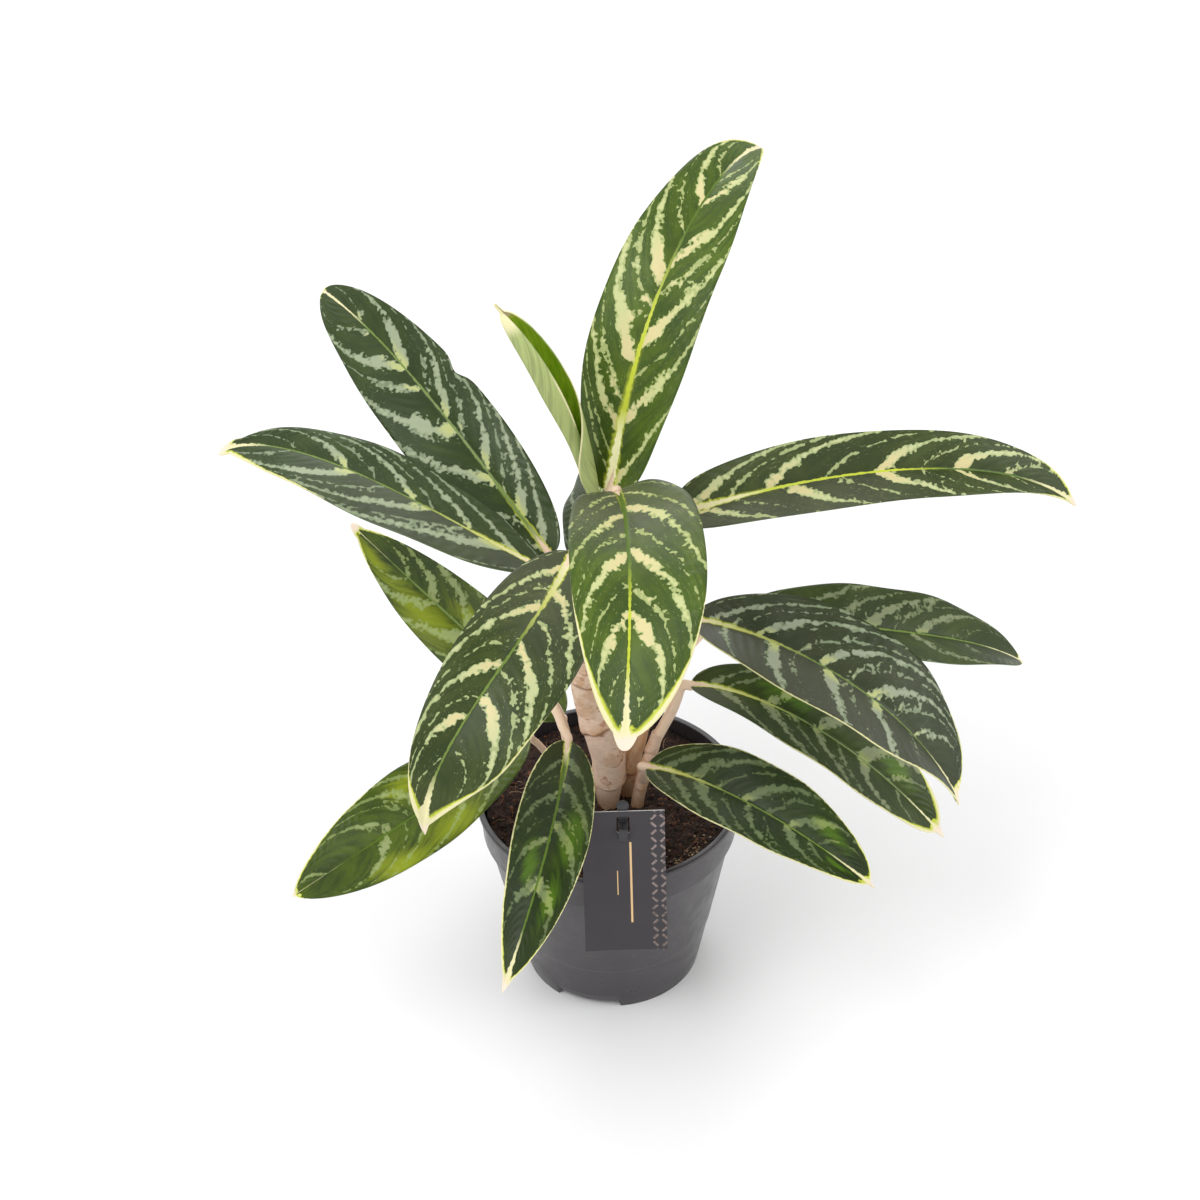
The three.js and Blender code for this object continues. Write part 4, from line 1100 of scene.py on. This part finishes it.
def leafTopMaterial(leaf):
    look = leaf["look"]
    material, tree, shader = newMaterial(leaf["name"] + "Top", 0.42)
    shader.inputs["Specular IOR Level"].default_value = 0.28
    where = millimetres(tree)
    t, s, reach, onLeft = bladeInputs(tree)
    rag = plus(tree, unevenness(tree, where, stripe["coarse"], stripe["coarseRag"]),
               unevenness(tree, where, stripe["fine"], stripe["fineRag"], stripe["fineDetail"]))
    wander = unevenness(tree, where, stripe["veinSize"], stripe["veinWander"])
    vein = plus(tree, painted(tree, "veinStart"), wander)
    snake = unevenness(tree, where, stripe["snakeSize"], stripe["snake"] / leaf["length"], 1)
    phase = plus(tree, vein, snake)
    depth, distance = stripeDepth(tree, leaf, where, phase, reach, onLeft, rag)
    mask = fade(tree, depth, -0.1, 0.12)
    along = alongVeins(tree, leaf, vein, s, stripe["streakLength"], stripe["streakFineness"])
    streaks = grain(tree, along, 1.0, 3)
    speck = fade(tree, grain(tree, along, stripe["speckSize"], 2), 0.66, 0.68)
    mask = calc(tree, "MAXIMUM", mask, times(tree, speck, fade(tree, distance, 6, 3, 0.0, 0.7)))
    base = blend(tree, fade(tree, grain(tree, where, 24, 3), 0.3, 0.7), look["base"], look["lightBase"])
    base = blend(tree, fade(tree, streaks, 0.42, 0.64, 0.0, 0.55), base, look["streak"])
    # Painted sheen: a grey wash over the left and the right half towards the base stands in for the
    # reflection of the bright surroundings; its entry gives the share on each half and where along the blade
    # it fades out.
    if "paintedSheen" in leaf:
        left, right, until = leaf["paintedSheen"]
        share = times(tree, sideValue(tree, onLeft, left, right), fade(tree, t, until + 0.15, until - 0.15))
        base = blend(tree, share, base, tints["paintedSheen"])
    core = fade(tree, plus(tree, unevenness(tree, where, 3, 1.8), depth), 0.2, 1.5)
    stripes = blend(tree, core, look["border"], look["core"])
    near = fade(tree, plus(tree, reach, calc(tree, "MULTIPLY_ADD", streaks, 0.3, -0.15)),
                look["paleReach"], look["paleReach"] * 0.3)
    stripes = blend(tree, times(tree, near, core), stripes, look["pale"])
    # Painted light: where light would shine through the leaf, the green and the stripes turn yellow green.
    for place, side, size in leaf["paintedBacklight"]:
        paintedBacklight = paintedBacklightAround(tree, t, s, streaks, place, side, size)
        base = blend(tree, times(tree, paintedBacklight, 0.75), base, look["paintedBacklight"])
        stripes = blend(tree, times(tree, paintedBacklight, 0.45), stripes, tints["paintedBacklightStripe"])
    colour = paintBorders(tree, leaf, blend(tree, mask, base, stripes), t, onLeft, rag)
    plug(tree, colour, shader.inputs["Base Color"])
    plug(tree, fade(tree, grain(tree, where, 18, 2), 0.3, 0.7, 0.36, 0.48), shader.inputs["Roughness"])
    addBump(tree, shader, plus(tree, grain(tree, where, 0.8, 2), streaks), 0.05)
    return material


# Painted light through the leaf: a soft yellow green patch around a place on the blade, pulled out along the
# streaks.
def paintedBacklightAround(tree, t, s, streaks, place, side, size):
    squares = []
    for value, middle, scale in ((t, place, 7.0), (s, side, 2.6)):
        away = calc(tree, "MULTIPLY_ADD", value, scale, -scale * middle)
        squares.append(times(tree, away, away))
    far = calc(tree, "SQRT", plus(tree, *squares))
    far = plus(tree, far, calc(tree, "MULTIPLY_ADD", streaks, 1.2, -0.6))
    return fade(tree, far, size, 0.1)


def paintRib(tree, leaf, colour, t, rag):
    before = ribs[leaf["rib"]]
    tip = [(0.78, before[-1][1], min(before[-1][2], leaf["tipRib"])), (0.87, "cream", leaf["tipRib"] * 0.5),
           (0.95, "cream", leaf["tipRib"]), (1.0, "pink", leaf["tipRib"])]
    stops = [(place, (*plainColour(*tints[tint])[:3], width / 10)) for place, tint, width in before + tip]
    ribColour, width = colourAlong(tree, t, stops)
    width = times(tree, width, 10.0)
    away = calc(tree, "MULTIPLY_ADD", rag, times(tree, width, -0.22), painted(tree, "fromRib"))
    haloWidth = 1.5 if leaf["rib"] == "lime" else 0.7
    halo = times(tree, fade(tree, away, plus(tree, width, haloWidth), width),
                 fade(tree, t, leaf["haloTo"], leaf["haloTo"] * 0.4, 0.0, 0.75))
    colour = blend(tree, halo, colour, tints["lime"])
    return blend(tree, fade(tree, away, width, times(tree, width, 0.7)), colour, ribColour)


# The green ends in lime, at the pale margin and before the point. The midrib runs through to the point.
def paintBorders(tree, leaf, colour, t, onLeft, rag):
    leftFrom, leftWidth, rightFrom, rightWidth = leaf["edge"]
    lines = []
    for start, width in ((leftFrom, leftWidth), (rightFrom, rightWidth)):
        grown = fade(tree, t, 0.74, 0.93, width, leaf.get("tipEdge", width * 1.8))
        lines.append(times(tree, grown, fade(tree, t, start - 0.05, start + 0.12)))
    width = sideValue(tree, onLeft, *lines)
    away = calc(tree, "MULTIPLY_ADD", rag, -0.14, painted(tree, "fromEdge"))
    band = times(tree, width, fade(tree, t, 0.7, 0.9, 1.35, 1.6))
    toTip = plus(tree, rag, calc(tree, "MULTIPLY_ADD", t, -leaf["length"], leaf["length"]))
    point = leaf["point"]
    lime = calc(tree, "MAXIMUM", fade(tree, away, band, times(tree, band, 0.6)),
                fade(tree, toTip, point + leaf["limeTip"], point + 0.3))
    cream = calc(tree, "MAXIMUM", fade(tree, away, width, times(tree, width, 0.6)),
                 fade(tree, toTip, point + 0.5, point * 0.75))
    colour = blend(tree, lime, colour, tints["lime"])
    colour = paintRib(tree, leaf, colour, t, rag)
    colour = blend(tree, cream, colour, tints["cream"])
    return blend(tree, fade(tree, toTip, point, point * 0.5), colour, tints["pink"])


def leafUnderMaterial(leaf):
    material, tree, shader = newMaterial(leaf["name"] + "Under", 0.5)
    shader.inputs["Specular IOR Level"].default_value = 0.3
    where = millimetres(tree)
    t, s, _, onLeft = bladeInputs(tree)
    under = leaf["look"]["under"]
    darker = tuple(value * 0.86 for value in under)
    streaks = grain(tree, alongVeins(tree, leaf, painted(tree, "veinStart"), s, 3, 2.0), 1.0, 3)
    colour = blend(tree, fade(tree, streaks, 0.35, 0.65), darker, under)
    leftFrom, _, rightFrom, _ = leaf["edge"]
    grown = fade(tree, minus(tree, t, sideValue(tree, onLeft, leftFrom, rightFrom)), -0.05, 0.12)
    rim = times(tree, fade(tree, painted(tree, "fromEdge"), 0.6, 0.3), grown)
    colour = blend(tree, rim, colour, tints["cream"])
    if "underEdge" in leaf:
        edge = times(tree, fade(tree, painted(tree, "fromEdge"), 0.8, 0.5),
                     fade(tree, t, leaf["underEdge"] + 0.1, leaf["underEdge"]))
        colour = blend(tree, edge, colour, tints["cream"])
    toTip = calc(tree, "MULTIPLY_ADD", t, -leaf["length"], leaf["length"])
    colour = blend(tree, fade(tree, toTip, leaf["point"] * 1.6, leaf["point"] * 0.9), colour, tints["cream"])
    plug(tree, colour, shader.inputs["Base Color"])
    addBump(tree, shader, plus(tree, grain(tree, where, 0.8, 2), streaks), 0.06)
    return material


def petioleMaterial():
    material, tree, shader = newMaterial("petiole", 0.45)
    shader.inputs["Specular IOR Level"].default_value = 0.35
    where = millimetres(tree)
    colour = blend(tree, grain(tree, where, 6, 3), petiole["light"], petiole["dark"])
    greener = fade(tree, painted(tree, "alongBlade"), 0.02, 0.4, 0.0, 0.85)
    colour = blend(tree, greener, colour, petiole["rib"])
    plug(tree, colour, shader.inputs["Base Color"])
    addBump(tree, shader, grain(tree, where, 1.2, 3), 0.08)
    return material


petioleSkin = petioleMaterial()
for leaf in leaves:
    bm = bmesh.new()
    points = midribPoints(leaf)
    makeBlade(bm, leaf, points)
    makePetiole(bm, leaf, points)
    materials = [leafTopMaterial(leaf), leafUnderMaterial(leaf), petioleSkin]
    finishPiece(bm, leaf["name"] + "_blade", leaf["name"], materials)
print("leaves ready:", len(leaves))


card = {
    "width": 36.0, "length": 69.0, "thickness": 0.6, "lean": 14.0, "middleX": 5.7, "topHeight": 132.0,
    "slotWidth": 5.6, "slotLength": 8.2, "slotBelowTop": 2.6, "gap": 0.3, "rimRounding": 0.8,
    "sideCells": 9, "slotCells": 4, "aboveCells": 3, "besideCells": 8, "belowCells": 50, "bow": 0.7,
    "cornerRadius": 0.5, "slotRadius": 1.9, "seam": 0.01,
    "dark": (54, 51, 55), "light": (61, 57, 61), "edgeLight": (236, 234, 232), "edgeDark": (206, 203, 202),
    "inkTop": (158, 142, 138), "inkFoot": (134, 118, 110), "gold": (228, 190, 140), "inkBlur": 0.06,
}
trellis = {
    "columns": (4.9, 0.9), "pitch": 3.7, "halfLength": 1.5, "halfWidth": 0.5, "margin": 1.2, "soft": 0.15,
    "softInside": 0.1,
}
goldLines = [
    {"x": 2.9, "width": 0.9, "from": 15.0, "to": 55.0},
    {"x": -3.0, "width": 0.45, "from": 29.0, "to": 41.0},
]
stake = {
    "width": 4.2, "thickness": 1.4, "headRadius": 2.7, "headAboveCard": 2.0,
    "tongueBelowSlotTop": 4.0, "tongueThickness": 1.4, "tongueDrop": 6.4, "hookThickness": 1.0,
    "rounding": 0.5, "bottomHeight": 70.0, "pointLength": 10.0, "pointThickness": 0.4, "edgeRadius": 0.22,
    "headSides": 40, "headRings": [(0.5, 1), (-0.35, 1), (-0.6, 0.8), (-0.75, 0.45)], "sharpAngle": 0.6,
    "dark": (38, 36, 39), "light": (48, 46, 49),
}


# The card's back face passes this far forward at a given height: the card leans on the rim.
def cardBackAt(height):
    aboveRim = height - pot["height"] + card["rimRounding"]
    return -pot["rimRadius"] - card["gap"] + aboveRim * math.tan(math.radians(card["lean"]))


# From the card's own place (across, down from its top, out from its back face) to the plant's.
def cardPlace(place):
    lean = math.radians(card["lean"])
    across, down, out = place
    y = cardBackAt(card["topHeight"]) - down * math.sin(lean) - out * math.cos(lean)
    z = card["topHeight"] - down * math.cos(lean) + out * math.sin(lean)
    return Vector((card["middleX"] + across, y, z))


# The marks with each stretch between two of them cut into its number of cells.
def stepsBetween(marks, cells):
    lines = [marks[0]]
    for (low, high), count in zip(zip(marks, marks[1:]), cells):
        lines += [mix(low, high, (step + 1) / count) for step in range(count)]
    return lines


# 1 where value is within half of middle and 0 beyond.
def fromMiddle(tree, value, middle, half):
    away = calc(tree, "ABSOLUTE", minus(tree, value, middle))
    return fade(tree, away, half + card["inkBlur"], half - card["inkBlur"])


def cardMaterial(name, printed):
    material, tree, shader = newMaterial(name, 0.5)
    shader.inputs["Specular IOR Level"].default_value = 0.35
    where = millimetres(tree)
    colour = blend(tree, grain(tree, where, 12, 3), card["dark"], card["light"])
    if printed:
        axes = axesOf(tree, where)
        across = minus(tree, axes["X"], card["middleX"])
        down = minus(tree, card["topHeight"], axes["Z"])
        down = times(tree, down, 1 / math.cos(math.radians(card["lean"])))
        worn = fade(tree, grain(tree, where, 0.7, 3), 0.36, 0.46, 0.0, 0.8)
        dashes = times(tree, trellisMask(tree, across, down), worn)
        ink = blend(tree, fade(tree, down, 0, card["length"]), card["inkTop"], card["inkFoot"])
        colour = blend(tree, dashes, colour, ink)
        for line in goldLines:
            middle = (line["from"] + line["to"]) / 2
            near = fromMiddle(tree, across, line["x"], line["width"] / 2)
            level = fromMiddle(tree, down, middle, line["to"] - middle)
            colour = blend(tree, times(tree, near, level), colour, card["gold"])
    plug(tree, colour, shader.inputs["Base Color"])
    addBump(tree, shader, grain(tree, where, 0.5, 3), 0.03)
    return material


# Short slanting dashes in two columns whose slants mirror each other.
def trellisMask(tree, across, down):
    cell = times(tree, minus(tree, down, trellis["margin"]), 1 / trellis["pitch"])
    row = calc(tree, "FLOOR", cell)
    level = times(tree, minus(tree, minus(tree, cell, row), 0.5), trellis["pitch"])
    slant = calc(tree, "MULTIPLY_ADD", calc(tree, "FLOORED_MODULO", row, 2.0), 2.0, -1.0)
    soft = trellis["soft"]
    masks = []
    for fromEdge, mirror in zip(trellis["columns"], (1.0, -1.0)):
        aside = minus(tree, across, card["width"] / 2 - fromEdge)
        turned = times(tree, level, times(tree, slant, mirror))
        length, width = [times(tree, calc(tree, "ABSOLUTE", far), math.sqrt(0.5))
                         for far in (plus(tree, aside, turned), minus(tree, aside, turned))]
        length = fade(tree, length, trellis["halfLength"] + soft, trellis["halfLength"] - soft)
        width = fade(tree, width, trellis["halfWidth"] + soft, trellis["halfWidth"] - trellis["softInside"])
        masks.append(times(tree, length, width))
    return calc(tree, "MAXIMUM", *masks)


def paperEdge():
    material, tree, shader = newMaterial("paperEdge", 0.8)
    where = millimetres(tree)
    colour = blend(tree, grain(tree, where, 2, 3), card["edgeLight"], card["edgeDark"])
    plug(tree, colour, shader.inputs["Base Color"])
    return material


def makeCard():
    half, slot = card["width"] / 2, card["slotWidth"] / 2
    slotTop = card["slotBelowTop"]
    slotFoot = slotTop + card["slotLength"]
    lines = stepsBetween((-half, -slot, slot, half),
                         (card["sideCells"], card["slotCells"], card["sideCells"]))
    rows = stepsBetween((0, slotTop, slotFoot, card["length"]),
                        (card["aboveCells"], card["besideCells"], card["belowCells"]))
    bm = bmesh.new()
    bmesh.ops.create_grid(bm, x_segments=len(lines) - 1, y_segments=len(rows) - 1, size=0.5)
    for vert in bm.verts:
        column = round((vert.co.x + 0.5) * (len(lines) - 1))
        row = round((vert.co.y + 0.5) * (len(rows) - 1))
        vert.co = Vector((lines[column], rows[row], 0))
    opening = []
    for face in bm.faces:
        middle = face.calc_center_median()
        if abs(middle.x) < slot and slotTop < middle.y < slotFoot:
            opening.append(face)
    bmesh.ops.delete(bm, geom=opening, context="FACES")
    bmesh.ops.solidify(bm, geom=list(bm.faces), thickness=card["thickness"])
    lowest = min(vert.co.z for vert in bm.verts)
    bmesh.ops.translate(bm, vec=Vector((0, 0, -lowest)), verts=bm.verts)
    for width, top, foot, radius in ((half, 0, card["length"], card["cornerRadius"]),
                                     (slot, slotTop, slotFoot, card["slotRadius"])):
        roundCorners(bm, width, top, foot, radius)
    for face in bm.faces:
        if abs(face.normal.z) < 0.5:
            face.material_index = 1
    for vert in bm.verts:
        lift = card["bow"] * (vert.co.y / card["length"]) ** 2 * (vert.co.x / half) ** 2
        vert.co = cardPlace((vert.co.x, vert.co.y, vert.co.z + lift))
    bmesh.ops.recalc_face_normals(bm, faces=bm.faces)
    for face in bm.faces:
        if face.material_index == 0 and face.normal.y > 0:
            face.material_index = 2
    materials = [cardMaterial("cardPrint", True), paperEdge(), cardMaterial("cardBack", False)]
    finishPiece(bm, "care_card_print", "care_card", materials, smooth=False)


def roundCorners(bm, width, top, foot, radius):
    corners = []
    for edge in bm.edges:
        first, second = (vert.co for vert in edge.verts)
        upright = (first - second).xy.length < card["seam"]
        outer = max(abs(abs(first.x) - width), min(abs(first.y - top), abs(first.y - foot)))
        if upright and outer < card["seam"]:
            corners.append(edge)
    bmesh.ops.bevel(bm, geom=corners, offset=radius, segments=4, profile=0.5, affect="EDGES", material=-1)


def stakeMaterial():
    material, tree, shader = newMaterial("stakePlastic", 0.42)
    where = millimetres(tree)
    colour = blend(tree, grain(tree, where, 5, 3), stake["dark"], stake["light"])
    plug(tree, colour, shader.inputs["Base Color"])
    addBump(tree, shader, grain(tree, where, 0.6, 3), 0.04)
    return material


# The stake stands behind the card; its tongue comes through the slot and hooks down in front of it.
def makeStake():
    front = cardBackAt(card["topHeight"]) + card["gap"]
    back = front + stake["thickness"]
    tongueTop = card["topHeight"] - card["slotBelowTop"] - stake["tongueBelowSlotTop"]
    underside = tongueTop - stake["tongueThickness"]
    foot = tongueTop - stake["tongueDrop"]
    hookBack = cardBackAt(foot) - card["thickness"] - 2 * card["gap"]
    hookFront = hookBack - stake["hookThickness"]
    headHeight = card["topHeight"] + stake["headAboveCard"]
    outline = [
        (front, headHeight), (back, headHeight), (back, stake["bottomHeight"]),
        (back - stake["pointThickness"], stake["bottomHeight"]),
        (front, stake["bottomHeight"] + stake["pointLength"]), (front, underside), (hookBack, underside),
        (hookBack, foot), (hookFront, foot), (hookFront, tongueTop - stake["rounding"]),
        (hookFront + stake["rounding"], tongueTop), (front, tongueTop),
    ]
    bm = bmesh.new()
    left = card["middleX"] - stake["width"] / 2
    side = bm.faces.new([bm.verts.new((left, y, z)) for y, z in outline])
    grown = bmesh.ops.extrude_face_region(bm, geom=[side], use_keep_orig=True)["geom"]
    moved = [item for item in grown if isinstance(item, bmesh.types.BMVert)]
    bmesh.ops.translate(bm, vec=Vector((stake["width"], 0, 0)), verts=moved)
    makeStakeHead(bm, (front + back) / 2, headHeight)
    bmesh.ops.recalc_face_normals(bm, faces=bm.faces)
    sharp = [edge for edge in bm.edges if edge.calc_face_angle(0) > stake["sharpAngle"]]
    bmesh.ops.bevel(bm, geom=sharp, offset=stake["edgeRadius"], segments=2, profile=0.5, affect="EDGES",
                    material=-1)
    bmesh.ops.recalc_face_normals(bm, faces=bm.faces)
    finishPiece(bm, "card_stake_plastic", "card_stake", [stakeMaterial()])


def makeStakeHead(bm, middleY, height):
    across, front = Vector((1, 0, 0)), Vector((0, 0, 1))
    stations = []
    for out, size in stake["headRings"]:
        radius = stake["headRadius"] * size
        centre = Vector((card["middleX"], middleY + out * stake["thickness"], height))
        stations.append((centre, across * radius, front * radius))
    sweepCircle(bm, stations, stake["headSides"])


makeCard()
makeStake()
print("care card and stake ready")
